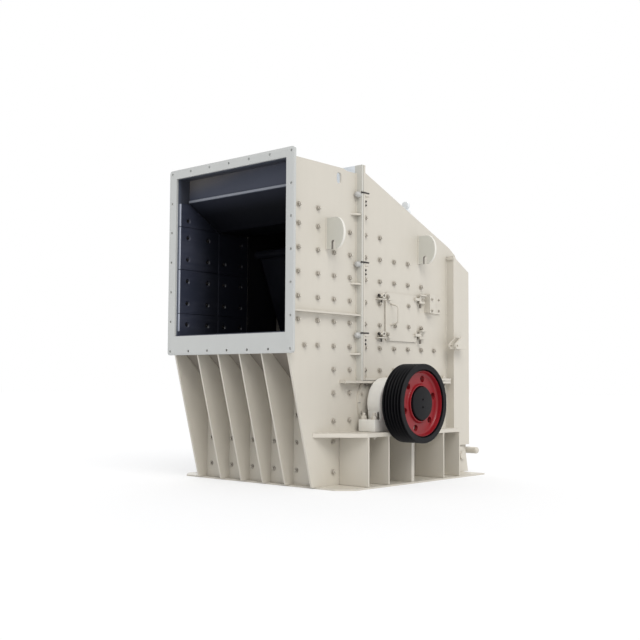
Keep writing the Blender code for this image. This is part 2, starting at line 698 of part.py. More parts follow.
def bearings():
    """Split bearing housings on the shelves, and the split plates that seal the side plates' holes."""
    foot = SHELF_TOP_Z + SEAT_GAP
    shoulder = foot + BEARING_FOOT_HEIGHT
    inner, outer = BEARING_INNER_X, BEARING_OUTER_X
    low_x, high_x = inner + BEARING_FOOT_INSET, outer - BEARING_FOOT_INSET
    base = block((low_x, AXIS_Y - BEARING_FOOT_HALF, foot), (high_x, AXIS_Y + BEARING_FOOT_HALF, shoulder))
    cheek = [
        (AXIS_Y - BEARING_FOOT_HALF + BEARING_CHEEK_INSET, shoulder - WELD),
        (AXIS_Y + BEARING_FOOT_HALF - BEARING_CHEEK_INSET, shoulder - WELD),
        (AXIS_Y + BEARING_EAR_HALF, AXIS_Z - BEARING_EAR_HEIGHT),
        (AXIS_Y + BEARING_EAR_HALF, AXIS_Z + BEARING_EAR_HEIGHT),
        (AXIS_Y - BEARING_EAR_HALF, AXIS_Z + BEARING_EAR_HEIGHT),
        (AXIS_Y - BEARING_EAR_HALF, AXIS_Z - BEARING_EAR_HEIGHT),
    ]
    cheeks = plate("X", inner + BEARING_CHEEK_INSET, outer - BEARING_CHEEK_INSET, cheek)
    barrel = turned(bearing_barrel(), (0, AXIS_Y, AXIS_Z), 40)
    bore_radius = SHAFT_RADIUS + PIN_GAP
    drill = rod((AXIS_Y, AXIS_Z), bore_radius, inner - BEARING_EDGE, outer + BEARING_EDGE, 32)
    pair("bearing_housing", carved(fused(barrel, cheeks, base), drill), IVORY, smooth=True)
    inner = OUTSIDE_HALF + SEAT_GAP
    bore = circle((AXIS_Y, AXIS_Z), bore_radius, 32)
    shelf, flange = foot, JOINT_Z - FLANGE - SEAT_GAP
    rim = clip(circle((AXIS_Y, AXIS_Z), SEAL_RADIUS, 48), (0, shelf), (AXIS_Y, shelf))
    rim = clip(rim, (AXIS_Y, flange), (0, flange))
    pair("shaft_seal", plate("X", inner, inner + SEAL_THICKNESS, rim, [bore]), IVORY)


def rear_brackets():
    """The fixed brackets with the pins that the rear housing tilts on."""
    inner = LUG_OUTER_X + JOINT_GAP
    foot = BASE + SEAT_GAP
    nose = arc((PIVOT_Y, PIVOT_Z), BRACKET_NOSE_RADIUS, 15, 150, 16)
    outline = [(BRACKET_FRONT_Y, foot), (BRACKET_REAR_Y, foot)] + nose
    bracket = plate("X", inner, BRACKET_OUTER_X, outline)
    end = BRACKET_OUTER_X + PIVOT_RADIUS
    profile = [
        (LUG_INNER_X, 0),
        (LUG_INNER_X, PIVOT_RADIUS),
        (inner + WELD, PIVOT_RADIUS),
        (inner + WELD, PIVOT_BOSS_RADIUS),
        (end, PIVOT_BOSS_RADIUS),
        (end, 0),
    ]
    pin = turned(profile, (0, PIVOT_Y, PIVOT_Z), SMALL_STEPS)
    pair("rear_bracket", fused(bracket, pin), IVORY)
    sill_half = INSIDE_HALF - SEAT_GAP
    sill = block((-sill_half, LOWER_REAR_Y - REAR_PLATE, BASE + SEAT_GAP), (sill_half, LOWER_REAR_Y, REAR_FOOT_Z))
    node("rear_sill", sill, IVORY)


def liners():
    """Bolted wear plates on the side walls, the floor and the roof of the inlet."""
    inner = INSIDE_HALF - SEAT_GAP - LINER
    start, toe = [Vector(point) for point in floor_line()]
    clear = Vector((0, LINER_CLEARANCE))
    rear = SPLIT_FRONT_Y - SEAT_GAP
    lintel, bend = [Vector(point) - clear for point in roof_line()[2:4]]
    shoulder = bend.lerp(lintel, (LINER_TOP_Z - bend.y) / (lintel.y - bend.y))
    outline = [
        (LINER_FRONT_Y, LINER_BOTTOM_Z),
        (rear, LINER_BOTTOM_Z),
        (rear, bend.y),
        tuple(bend),
        tuple(shoulder),
        (LINER_FRONT_Y, LINER_TOP_Z),
    ]
    outline = clip(outline, start + clear, toe + clear)
    half = LINER_SEAM / 2
    open_side, depth = inner - LINER, inner + LINER_SEAM_DEPTH
    seams = [block((open_side, y - half, 0), (depth, y + half, INLET_TOP_Z)) for y in LINER_COLUMNS]
    seams += [block((open_side, INLET_FACE_Y, z - half), (depth, SPLIT_Y, z + half)) for z in LINER_ROWS]
    sheet = plate("X", inner, inner + LINER, outline)
    pair("side_liner", carved(sheet, *seams), LINER_STEEL)
    half = inner - SEAT_GAP
    gap = Vector((0, SEAT_GAP * 2))
    node("floor_liner", plate("X", -half, half, floor_band(-LINER, gap.y)), LINER_STEEL)
    under = [Vector(p) - gap for p in roof_line()[1:]]
    under[0].x = under[1].x = LINTEL_Y - SEAT_GAP
    under[0].y -= SEAT_GAP
    under[-1].x -= LINER
    node("roof_liner", plate("X", -half, half, band(under, -LINER)), LINER_STEEL)


def rotor_outline():
    """The rotor's section with a seat for each blow bar and a pocket before it."""
    points = []
    half = BLOW_BAR_THICKNESS / 2 + SEAT_GAP
    for k in range(BLOW_BARS):
        lead = 360 * k / BLOW_BARS
        seat = math.degrees(math.asin(half / ROTOR_RADIUS))
        pocket = math.degrees(ROTOR_POCKET / ROTOR_RADIUS)
        turn = math.radians(lead)
        along = Vector((math.cos(turn), math.sin(turn)))
        side = Vector((-along.y, along.x))
        centre = Vector((AXIS_Y, AXIS_Z))
        root = BLOW_BAR_ROOT - SEAT_GAP
        points.append(tuple(centre + along * (ROTOR_RADIUS - ROTOR_POCKET) - side * (half + ROTOR_POCKET * 0.4)))
        points.append(tuple(centre + along * (ROTOR_RADIUS - ROTOR_POCKET) - side * half))
        points.append(tuple(centre + along * root - side * half))
        points.append(tuple(centre + along * root + side * half))
        points += arc((AXIS_Y, AXIS_Z), ROTOR_RADIUS, lead + seat, lead + 360 / BLOW_BARS - seat - pocket, 12)
    return points


def rotor(axis):
    inner_nose = PULLEY_FRONT_X - PULLEY_WIDTH - JOINT_GAP
    end = PULLEY_FRONT_X - WEB_DEPTH - SEAT_GAP
    left_end = -BEARING_OUTER_X - SHAFT_STUB
    profile = [
        (left_end, 0),
        (left_end, SHAFT_RADIUS),
        (inner_nose, SHAFT_RADIUS),
        (inner_nose, SHAFT_NOSE_RADIUS),
        (end, SHAFT_NOSE_RADIUS),
        (end, 0),
    ]
    node("rotor_shaft", turned(profile, (0, AXIS_Y, AXIS_Z), 32), SHAFT_STEEL, axis, smooth=True)
    bore = circle((AXIS_Y, AXIS_Z), SHAFT_RADIUS + SEAT_GAP, 32)
    node("rotor_body", plate("X", -ROTOR_HALF, ROTOR_HALF, rotor_outline(), [bore]), LINER_STEEL, axis)
    for k in range(BLOW_BARS):
        half = BLOW_BAR_THICKNESS / 2
        low = (-ROTOR_HALF, BLOW_BAR_ROOT, -half)
        bar = block(low, (ROTOR_HALF, BLOW_BAR_RADIUS, half))
        turn = Matrix.Rotation(math.radians(360 * k / BLOW_BARS), 4, "X")
        bar.transform(Matrix.Translation((0, AXIS_Y, AXIS_Z)) @ turn)
        node(f"blow_bar_{k + 1}", bar, SHAFT_STEEL, axis)
    pulley(axis)


def rim_profile():
    """The section of the pulley's grooved rim, as (x, radius)."""
    front, back, outer = PULLEY_FRONT_X, PULLEY_FRONT_X - PULLEY_WIDTH, PULLEY_RADIUS
    points = [(front, outer - PULLEY_EDGE), (front - PULLEY_EDGE, outer)]
    middle = (front + back) / 2
    for k in range(GROOVES):
        x = middle + ((GROOVES - 1) / 2 - k) * GROOVE_PITCH
        points += [
            (x + GROOVE_TOP_WIDTH / 2, outer),
            (x + GROOVE_FLOOR_WIDTH / 2, outer - GROOVE_DEPTH),
            (x - GROOVE_FLOOR_WIDTH / 2, outer - GROOVE_DEPTH),
            (x - GROOVE_TOP_WIDTH / 2, outer),
        ]
    points += [(back + PULLEY_EDGE, outer), (back, outer - PULLEY_EDGE), (back, PULLEY_RIM_INSIDE)]
    seat = PULLEY_RIM_INSIDE - RIM_TAPER
    web_front = front - WEB_DEPTH
    return points + [(web_front - WEB_THICKNESS, seat), (web_front, seat), (front, PULLEY_RIM_INSIDE)]


def pulley(axis):
    """The drive pulley: a grooved rim on a web disc with holes, and the cap of its hub."""
    centre = (0, AXIS_Y, AXIS_Z)
    reach = PULLEY_FRONT_X - WEB_DEPTH
    web_back, back = reach - WEB_THICKNESS, PULLEY_FRONT_X - PULLEY_WIDTH
    edge = PULLEY_RIM_INSIDE - RIM_TAPER - SEAT_GAP
    bore = SHAFT_NOSE_RADIUS + SEAT_GAP
    node("pulley", turned(rim_profile(), centre, 64), BLACK, axis, smooth=True)
    disc = [(reach, edge), (web_back, edge), (web_back, HUB_RADIUS), (back, HUB_RADIUS), (back, bore), (reach, bore)]
    drills = []
    for k in range(WEB_HOLES):
        turn = math.radians(90 + 360 * k / WEB_HOLES)
        place = (AXIS_Y + WEB_HOLE_CIRCLE * math.cos(turn), AXIS_Z + WEB_HOLE_CIRCLE * math.sin(turn))
        drills.append(rod(place, WEB_HOLE_RADIUS, web_back - WEB_THICKNESS, reach + WEB_THICKNESS, 12))
    node("pulley_web", carved(turned(disc, centre, 64), *drills), RED, axis, smooth=True)
    low, high = reach + SEAT_GAP, PULLEY_FRONT_X - HUB_RECESS
    holes = [circle((AXIS_Y, AXIS_Z + s * HUB_HOLE_CIRCLE), HUB_HOLE_RADIUS, 10) for s in (-1, 1)]
    cap = plate("X", low, high, circle((AXIS_Y, AXIS_Z), HUB_RADIUS, 40), holes)
    node("pulley_hub", cap, BLACK, axis, smooth=True)


def rear_side_walls(tilt):
    outline = [
        (TILT_Y + FLANGE + SEAT_GAP, TILT_Z),
        (LOWER_REAR_Y + JOINT_GAP, TILT_Z),
        (LOWER_REAR_Y + JOINT_GAP, REAR_FOOT_Z),
        (REAR_Y, REAR_FOOT_Z),
    ] + list(reversed(slope_line()))
    low = (DOOR_FRONT_Y + DOOR_LAP, DOOR_BOTTOM_Z + DOOR_LAP)
    high = (DOOR_REAR_Y - DOOR_LAP, DOOR_TOP_Z - DOOR_LAP)
    opening = rectangle(low, high, DOOR_CORNER)
    sheet = plate("X", INSIDE_HALF, OUTSIDE_HALF, outline, [opening])
    start = (OUTSIDE_HALF - WELD, TILT_Y + FLANGE + SEAT_GAP, TILT_Z)
    flange = block(start, (JOINT_HALF, JOINT_REAR_Y, TILT_Z + FLANGE))
    pair("rear_side_wall", fused(sheet, flange), IVORY, tilt)


def rear_shell(tilt):
    inside = INSIDE_HALF - SEAT_GAP
    slope = slope_line()
    front = slope[0][0]
    beyond = (front - REAR_PLATE, slope[0][1] + REAR_PLATE * math.tan(slope_angle()))
    roof = clip_before(band([*reversed(slope), beyond], REAR_PLATE), front)
    node("rear_roof", plate("X", -inside, inside, roof), IVORY, tilt)
    under = REAR_TOP_Z - REAR_WALL_DROP
    wall = block((-inside, REAR_Y - REAR_PLATE, REAR_FOOT_Z), (inside, REAR_Y, under))
    node("rear_wall", wall, IVORY, tilt)
    node("split_flange_rear", split_frame(TILT_Y, TILT_Y + FLANGE, TILT_Z), IVORY, tilt)
    y, z = ROOF_BAR_Y, slope_height(ROOF_BAR_Y)
    lift = ROOF_BAR_RADIUS / math.cos(slope_angle()) + SEAT_GAP
    half = INSIDE_HALF - ROOF_BAR_INSET
    bar = rod((y, z + lift), ROOF_BAR_RADIUS, -half, half, 20)
    lugs = [roof_lug(side * (half - ROOF_LUG_RADIUS), y, z + lift) for side in (-1, 1)]
    node("roof_cross_bar", fused(bar, *lugs), IVORY, tilt, smooth=True)


def roof_lug(x, y, axis_z):
    """A round lug on a short neck, upright on the cross bar's end."""
    half_neck, half_disc = ROOF_LUG_NECK / 2, ROOF_LUG_THICKNESS / 2
    centre = (x, axis_z + ROOF_LUG_RISE)
    disc = plate("Y", y - half_disc, y + half_disc, circle(centre, ROOF_LUG_RADIUS, 24))
    low = (x - half_neck, y - half_disc + WELD, axis_z)
    return fused(disc, block(low, (x + half_neck, y + half_disc - WELD, centre[1])))


def slope_angle():
    first, second = slope_line()[:2]
    return math.atan2(first[1] - second[1], second[0] - first[0])


def slope_height(y):
    first, second = slope_line()[:2]
    return first[1] - (y - first[0]) * math.tan(slope_angle())


def columns(tilt):
    """Box columns on the rear corners, with the lugs that hang on the pivot pins."""
    inner = OUTSIDE_HALF + SEAT_GAP
    outline = [(COLUMN_FRONT_Y, REAR_FOOT_Z), (REAR_Y, REAR_FOOT_Z), (REAR_Y, REAR_TOP_Z), (COLUMN_FRONT_Y, COLUMN_FRONT_Z)]
    low = (inner - COLUMN_WALL, COLUMN_FRONT_Y + COLUMN_WALL, REAR_FOOT_Z + COLUMN_WALL)
    high = (COLUMN_OUTER_X - COLUMN_WALL, REAR_Y - COLUMN_WALL, REAR_TOP_Z - COLUMN_WALL)
    shell = carved(plate("X", inner, COLUMN_OUTER_X, outline), block(low, high))
    top = REAR_FOOT_Z + COLUMN_WALL / 2
    eye = arc((PIVOT_Y, PIVOT_Z), PIVOT_EYE_RADIUS, -60, -190, 12)
    lug = [(REAR_Y, top), (REAR_Y, PIVOT_Z)] + eye + [(PIVOT_Y - LUG_SHOULDER, top)]
    hole = circle((PIVOT_Y, PIVOT_Z), PIVOT_RADIUS + PIN_GAP)
    pair("rear_column", fused(shell, plate("X", LUG_INNER_X, LUG_OUTER_X, lug, [hole])), IVORY, tilt)
    place = (REAR_Y + CROSS_BAR_RADIUS + SEAT_GAP, CROSS_BAR_Z)
    half = OUTSIDE_HALF + CROSS_BAR_REACH
    node("rear_cross_bar", rod(place, CROSS_BAR_RADIUS, -half, half, 20), IVORY, tilt, smooth=True)


def clevises(tilt):
    """Pairs of plates on the columns, for the opening cylinders."""
    eye = arc((CLEVIS_Y, CLEVIS_Z), CLEVIS_EYE, 135, 270, 10)
    foot, top = COLUMN_FRONT_Y + CLEVIS_FOOT, CLEVIS_Z + CLEVIS_HEAD
    low = CLEVIS_Z - CLEVIS_EYE
    outline = eye + [(foot, low), (foot - CLEVIS_LEAN, top), (foot - CLEVIS_LEAN - CLEVIS_TOP_WIDTH, top)]
    hole = circle((CLEVIS_Y, CLEVIS_Z), CLEVIS_HOLE_RADIUS)
    first = COLUMN_OUTER_X + SEAT_GAP
    second = first + CLEVIS_SPREAD - CLEVIS_PLATE
    web_foot = foot - CLEVIS_TOP_WIDTH
    web = [(y, low) for y in (web_foot, web_foot + CLEVIS_WEB_WIDTH)]
    web += [(y - CLEVIS_WEB_WIDTH, top - CLEVIS_LEAN / 2) for y in (web_foot + CLEVIS_WEB_WIDTH, web_foot)]
    first_lug, second_lug = [plate("X", low, low + CLEVIS_PLATE, outline, [hole]) for low in (first, second)]
    bridge = plate("X", first + CLEVIS_PLATE - WELD, second + WELD, web)
    pair("cylinder_clevis", fused(first_lug, second_lug, bridge), IVORY, tilt)


def aprons(tilt):
    """Impact aprons between the side walls, above the rotor."""
    half, inside = INSIDE_HALF - LINER, INSIDE_HALF - SEAT_GAP
    for name, (head, toe) in (("apron_front", FRONT_APRON), ("apron_rear", REAR_APRON)):
        outline = band([head, toe], APRON_THICKNESS)
        centre = Vector(head).lerp(Vector(toe), APRON_SHAFT_SHARE)
        shaft = rod(centre, APRON_SHAFT_RADIUS, -inside, inside)
        node(name, fused(plate("X", -half, half, outline), shaft), LINER_STEEL, tilt)


def door(tilt, hinge):
    """The inspection door, its hinges, handle and switch, and the plain cover on the left side."""
    outside = OUTSIDE_HALF
    low_x = outside + JOINT_GAP
    face = low_x + DOOR_THICKNESS
    panel = rectangle((DOOR_FRONT_Y, DOOR_BOTTOM_Z), (DOOR_REAR_Y, DOOR_TOP_Z), DOOR_CORNER)
    cover = plate("X", outside + SEAT_GAP, outside + SEAT_GAP + DOOR_THICKNESS, panel)
    node("door_cover_left", mirrored(cover), IVORY, tilt)
    leaves = []
    for name, z in zip(("lower", "upper"), HINGE_HEIGHTS):
        leaves.append(hinge_leaf(face, z))
        node("door_hinge_" + name, hinge_bracket(z), IVORY, tilt)
    node("inspection_door", fused(plate("X", low_x, face, panel), *leaves), IVORY, hinge)
    flush = block((low_x, DOOR_FRONT_Y, DOOR_BOTTOM_Z), (face + SEAT_GAP, DOOR_REAR_Y, DOOR_TOP_Z))
    node("door_handle", carved(tube(handle_path(face), HANDLE_RADIUS), flush), IVORY, hinge, smooth=True)
    low = (outside + SEAT_GAP, SWITCH_FRONT_Y, SWITCH_BOTTOM_Z)
    high = (outside + SWITCH_PLATE, SWITCH_REAR_Y, SWITCH_TOP_Z)
    box_low = (high[0] - WELD, SWITCH_FRONT_Y + WELD, SWITCH_BOTTOM_Z + WELD)
    box_high = (outside + SWITCH_BOX_REACH, SWITCH_FRONT_Y + SWITCH_BOX_LENGTH, SWITCH_TOP_Z - WELD)
    node("door_switch_box", fused(block(low, high), block(box_low, box_high)), IVORY, tilt)


def hinge_leaf(face, z):
    """The door's half of a hinge: a knuckle and the strap that carries it."""
    half = HINGE_KNUCKLE_HEIGHT / 2
    knuckle = circle((HINGE_X, HINGE_Y), HINGE_KNUCKLE_RADIUS, 14)
    bore = circle((HINGE_X, HINGE_Y), HINGE_PIN_RADIUS + PIN_GAP, 14)
    strap_end = HINGE_Y - HINGE_PIN_RADIUS - 2 * PIN_GAP
    strap = block((face - WELD, HINGE_Y - HINGE_STRAP, z - half), (HINGE_X + HINGE_KNUCKLE_RADIUS / 2, strap_end, z + half))
    return fused(plate("Z", z - half, z + half, knuckle, [bore]), strap)


def hinge_bracket(z):
    """The wall's half of a hinge: two lobes on a foot, with the pin through them."""
    half = HINGE_KNUCKLE_HEIGHT / 2
    pin = plate("Z", z - 3 * half, z + 3 * half, circle((HINGE_X, HINGE_Y), HINGE_PIN_RADIUS, 14))
    lobes = []
    for side in (-1, 1):
        low, high = sorted((z + side * (half + PIN_GAP), z + side * HINGE_HALF_HEIGHT))
        lobes.append(plate("Z", low, high, circle((HINGE_X, HINGE_Y), HINGE_KNUCKLE_RADIUS, 14)))
        lobes.append(block((OUTSIDE_HALF + WELD, HINGE_Y, low), (HINGE_X, HINGE_Y + HINGE_STRAP, high)))
    spine_y = HINGE_Y + HINGE_KNUCKLE_RADIUS + JOINT_GAP
    low = (OUTSIDE_HALF + SEAT_GAP, spine_y, z - HINGE_HALF_HEIGHT)
    spine = block(low, (OUTSIDE_HALF + HINGE_SPINE, HINGE_Y + HINGE_STRAP, z + HINGE_HALF_HEIGHT))
    return fused(spine, *lobes, pin)


def handle_path(face):
    """From foot to foot: the legs lean in towards the grip, with a bend at each end of it.

    Both ends run on a little past the door's face, where they are cut flush."""
    reach, feet, grip = face + HANDLE_REACH, HANDLE_FEET / 2, HANDLE_GRIP / 2
    turn = math.atan2(HANDLE_REACH, feet - grip)
    centre = (reach - HANDLE_BEND, grip - HANDLE_BEND * math.tan(turn / 2))
    bend = arc(centre, HANDLE_BEND, 0, math.degrees(turn), 5)
    end = (face - HANDLE_RADIUS * math.sin(turn), feet + HANDLE_RADIUS * math.cos(turn))
    upper = [(x, HANDLE_Y, HANDLE_Z + z) for x, z in [*bend, end]]
    lower = [(x, y, 2 * HANDLE_Z - z) for x, y, z in reversed(upper)]
    return lower + upper


def build():
    base()
    side_plates()
    front_wall_and_floor()
    inlet_flange()
    front_roof()
    fixed_flanges()
    pair("lifting_ear_front", ear(EAR_FRONT_Y), IVORY)
    shelves()
    bearings()
    rear_brackets()
    liners()
    axis = pivot("rotor_axis", (0, AXIS_Y, AXIS_Z))
    rotor(axis)
    tilt = pivot("rear_housing_axis", (0, PIVOT_Y, PIVOT_Z))
    rear_side_walls(tilt)
    rear_shell(tilt)
    columns(tilt)
    clevises(tilt)
    aprons(tilt)
    pair("lifting_ear_rear", ear(EAR_REAR_Y), IVORY, tilt)
    hinge = pivot("door_axis", (HINGE_X, HINGE_Y, (DOOR_BOTTOM_Z + DOOR_TOP_Z) / 2))
    door(tilt, hinge)


build()
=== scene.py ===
"""The looks of an impact crusher: paint, wear plates, bolts, weld beads, clamps,
latches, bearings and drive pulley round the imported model, with a plain studio."""

import json
import math

import bmesh
import bpy
from bpy.props import FloatProperty, FloatVectorProperty, IntProperty, PointerProperty
from mathutils import Matrix, Vector


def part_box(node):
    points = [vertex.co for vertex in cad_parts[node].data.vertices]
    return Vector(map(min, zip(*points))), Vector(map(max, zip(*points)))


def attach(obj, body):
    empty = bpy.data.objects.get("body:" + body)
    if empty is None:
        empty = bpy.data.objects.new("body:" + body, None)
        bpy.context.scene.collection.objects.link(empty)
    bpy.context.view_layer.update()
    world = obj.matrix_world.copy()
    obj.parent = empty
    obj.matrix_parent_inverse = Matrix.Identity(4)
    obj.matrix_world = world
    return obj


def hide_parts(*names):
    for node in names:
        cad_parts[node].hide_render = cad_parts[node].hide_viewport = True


bl_info = {
    "name": "Impact crusher looks",
    "version": (1, 0, 0),
    "blender": (4, 5, 0),
    "location": "View3D > Sidebar > Crusher",
    "description": "Finishes, fasteners and fittings of an impact crusher",
    "category": "Object",
}

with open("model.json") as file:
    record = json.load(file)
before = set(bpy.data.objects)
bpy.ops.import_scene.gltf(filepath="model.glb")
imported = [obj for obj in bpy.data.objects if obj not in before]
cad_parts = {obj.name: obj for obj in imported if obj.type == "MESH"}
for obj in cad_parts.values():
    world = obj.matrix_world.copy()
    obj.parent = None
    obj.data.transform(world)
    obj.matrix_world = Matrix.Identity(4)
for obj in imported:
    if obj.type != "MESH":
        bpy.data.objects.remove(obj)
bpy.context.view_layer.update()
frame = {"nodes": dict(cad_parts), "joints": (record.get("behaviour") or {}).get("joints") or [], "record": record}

HOUSING = "housing"
REAR = "rear_housing"
ROTOR = "rotor"
DOOR = "inspection_door"

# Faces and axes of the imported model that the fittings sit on
SEAT_GAP = 0.0003   # between a side liner and the wall behind it
WALL = 0.021        # thickness of the side walls
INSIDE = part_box("side_liner_right")[1].x + SEAT_GAP
OUTSIDE = INSIDE + WALL
INLET_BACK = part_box("inlet_flange")[1].y
FLANGE_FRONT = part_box("split_flange_front")[0].y
FLANGE_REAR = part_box("split_flange_rear")[1].y
FLANGE_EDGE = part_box("split_flange_rear")[1].x
FRONT_WALL_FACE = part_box("floor_liner")[1].y - 0.06
DOOR_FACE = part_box("door_handle")[0].x


def joint_place(body):
    """Where the joint of a moving body lies."""
    return Vector(next(joint["pos_m"] for joint in frame["joints"] if joint["child"] == body))


AXIS = joint_place(ROTOR)
OUT = Vector((1, 0, 0))
UP = Vector((0, 0, 1))

FIT = 0.0004              # between a fitting and the face that it sits on
MERGE_DISTANCE = 0.00003  # under which two vertices become one

# The sunk roof over the inlet: a lintel, a slope and a flat
ROOF_SLOPE = 0.615
ROOF_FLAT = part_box("front_roof")[0].z
LINTEL_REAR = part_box("roof_liner")[0].y + 0.028
LINTEL_TOP = ROOF_FLAT + 0.24

EAR_SLOT_END = OUTSIDE + 0.114   # the outer side of a lifting ear's slot

# The feed floor's under side, and the wear plate on the floor at the same place on Y
FLOOR_SLOPE = 0.909
FLOOR_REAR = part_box("feed_floor")[1].y
FLOOR_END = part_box("feed_floor")[0].z
FLOOR_LINER_END = 1.05


def colour_prop(name, description, default):
    return FloatVectorProperty(name=name, description=description, subtype="COLOR", default=default)


def length_prop(name, description, default):
    return FloatProperty(name=name, description=description, unit="LENGTH", default=default)


def angle_prop(name, description, degrees):
    return FloatProperty(name=name, description=description, subtype="ANGLE", default=math.radians(degrees))


class PaintSettings(bpy.types.PropertyGroup):
    ivory: colour_prop("Ivory", "Outside of the housing", (0.600, 0.565, 0.495))
    flange_grey: colour_prop("Flange grey", "Inlet flange", (0.52, 0.53, 0.515))
    primer: colour_prop("Inside primer", "Inner faces near the inlet", (0.045, 0.049, 0.064))
    # Painted light: inside primer made lighter where light falls in at the mouth
    mouth_lit_primer: colour_prop("Primer by the mouth", "Inner faces at the mouth", (0.095, 0.108, 0.145))
    # Painted shade: black far inside the housing
    deep_shade: colour_prop("Deep inside", "Inner faces far behind the inlet", (0.006, 0.006, 0.008))
    liner: colour_prop("Wear plate", "Wear plates under their dust", (0.020, 0.023, 0.036))
    # Stone dust, and painted light on the wear plates by the mouth
    liner_dust_and_light: colour_prop("Dust on the wear plates", "Stone dust by the mouth", (0.080, 0.084, 0.112))
    lintel: colour_prop("Lintel", "Upright face of the roof's wear plate", (0.050, 0.056, 0.078))
    lintel_dust: colour_prop("Dust on the lintel", "Stone dust on its upright face", (0.125, 0.115, 0.105))
    # Painted highlight: lighter colour that stands for light on the wear plates' cut edges
    liner_edge_highlight: colour_prop("Liner edges", "Cut edges of the wear plates", (0.42, 0.45, 0.52))
    pulley_black: colour_prop("Pulley black", "Rim and bush of the drive pulley", (0.0028, 0.0028, 0.0042))
    web_red: colour_prop("Pulley web red", "Web between the pulley's rim and bush", (0.235, 0.005, 0.010))
    steel: colour_prop("Machined steel", "Rotor shaft", (0.42, 0.41, 0.40))
    bar_steel: colour_prop("Blow bar steel", "Blow bars", (0.09, 0.088, 0.09))
    bolt_steel: colour_prop(
        "Dark bolt steel", "Clamp rods, latch bolts and liner bolts", (0.055, 0.050, 0.048))
    # Pale paint, which is also painted sky light where it colours the trough's walls and sunk roof
    trough: colour_prop("Trough", "Sunk roof, the walls over it and the cross bar", (0.76, 0.79, 0.81))
    casting: colour_prop("Bearing paint", "Bearing housings", (0.75, 0.735, 0.69))
    # Painted highlight on the lifting ears' outer edges
    ear_edge_highlight: colour_prop("Plate edges", "Outer edges of the lifting ears", (0.76, 0.74, 0.68))
    # Painted shade on the feed floor's under side
    painted_under_shade: colour_prop("Shaded floor", "Shadowed under side of the feed floor", (0.24, 0.215, 0.185))
    # Worn paint on the nuts' sides, also painted shade that darkens the sides against the ivory ends
    nut: colour_prop("Worn nut paint", "Sides of the side walls' nuts", (0.34, 0.31, 0.265))
    split_flange: colour_prop("Split flange", "Front flange where the housing opens", (0.56, 0.55, 0.50))
    ear: colour_prop("Lifting ears", "Faces of the lifting ears", (0.595, 0.588, 0.530))
    boss: colour_prop("Clamp boss paint", "Round bosses of the housing clamps", (0.47, 0.47, 0.455))
    # Worn dark bolt paint, also painted shade inside the ears' slots and on the front wall nuts' sides
    worn_bolt_and_shade: colour_prop(
        "Worn bolt paint", "Hinge pins, front wall nuts and ear slots", (0.17, 0.15, 0.125))
    # Painted shade: the tint that the paint is darkened towards in corners and creases
    corner_shade_tint: colour_prop("Shade", "Multiplies the paint where plates meet", (0.34, 0.31, 0.27))


class BoltSettings(bpy.types.PropertyGroup):
    first_column: length_prop("First column", "Y of the column by the inlet", -0.365)
    second_column: length_prop("Second column", "Y of the column behind the first", -0.091)
    third_column: length_prop("Third column", "Y of the first evenly spaced column", 0.143)
    pitch: length_prop("Column pitch", "Between the third and later columns", 0.2402)
    nut_radius: length_prop("Nut radius", "Over the corners", 0.0225)
    nut_height: length_prop("Nut height", "From the washer to the nut's top", 0.021)
    stud_radius: length_prop("Stud radius", "Of the thread that stands out of the nut", 0.012)
    stud_length: length_prop("Stud length", "From the wall to its tip", 0.038)
    washer_radius: length_prop("Washer radius", "Of the round washer under the nut", 0.0265)
    washer_thickness: length_prop("Washer thickness", "Of the round washer under the nut", 0.005)
    seed: IntProperty(name="Seed", description="Turns each nut a little differently", default=4)


class InletSettings(bpy.types.PropertyGroup):
    hole_radius: length_prop("Hole radius", "Of the flange's bolt holes", 0.0135)
    hole_inset: length_prop("Hole inset", "From the flange's edge", 0.038)
    holes_per_side: IntProperty(
        name="Holes per side", description="With those in the corners", default=7, min=2)
    corner: length_prop("Corner radius", "Of the flange's outline", 0.03)
    edge: length_prop("Edge rounding", "Of the flange's edges", 0.003)
    countersink: length_prop("Countersink radius", "At the face of a side liner", 0.028)
    countersink_depth: length_prop("Countersink depth", "From that face to the bolt's head", 0.016)
    head_radius: length_prop("Countersink floor radius", "Round the bolt's head", 0.017)


class ClampSettings(bpy.types.PropertyGroup):
    heights: FloatVectorProperty(
        name="Heights", description="Of the clamps over the base", size=3, unit="LENGTH",
        default=(2.85, 2.155, 1.455)
    )
    boss_radius: length_prop("Boss radius", "Where it meets the flange", 0.031)
    boss_flat: length_prop("Boss flat", "Radius of the flat on its nose", 0.014)
    boss_inset: length_prop("Boss inset", "From the flange's edge", 0.004)
    boss_length: length_prop("Boss length", "Before the front flange", 0.052)
    rod_radius: length_prop("Rod radius", "Of the swing bolt", 0.008)
    rod_rise: length_prop("Rod rise", "From the boss's middle up to the rod", 0.022)
    rod_length: length_prop("Rod length", "Past the rear flange", 0.055)


class PulleySettings(bpy.types.PropertyGroup):
    grooves: IntProperty(name="Grooves", description="For the drive belts", default=6, min=1)
    groove_pitch: length_prop("Groove pitch", "From groove to groove", 0.035)
    groove_depth: length_prop("Groove depth", "From the rim's outside", 0.026)
    rim_inside: length_prop("Inner radius of the rim", "At the front face", 0.328)
    web_depth: length_prop("Web depth", "Behind the front face", 0.065)
    web_holes: IntProperty(name="Web holes", description="Round holes in the web", default=6, min=1)
    first_hole: angle_prop("First hole", "Turned up from the rear", 77)
    hole_circle: length_prop("Hole circle", "Radius that the holes' middles lie on", 0.242)
    hole_radius: length_prop("Hole radius", "Of each hole in the web", 0.033)
    jack_circle: length_prop("Jack screw circle", "Radius that the jack screws lie on", 0.037)
    jack_radius: length_prop("Jack screw radius", "Of their holes in the bush", 0.011)


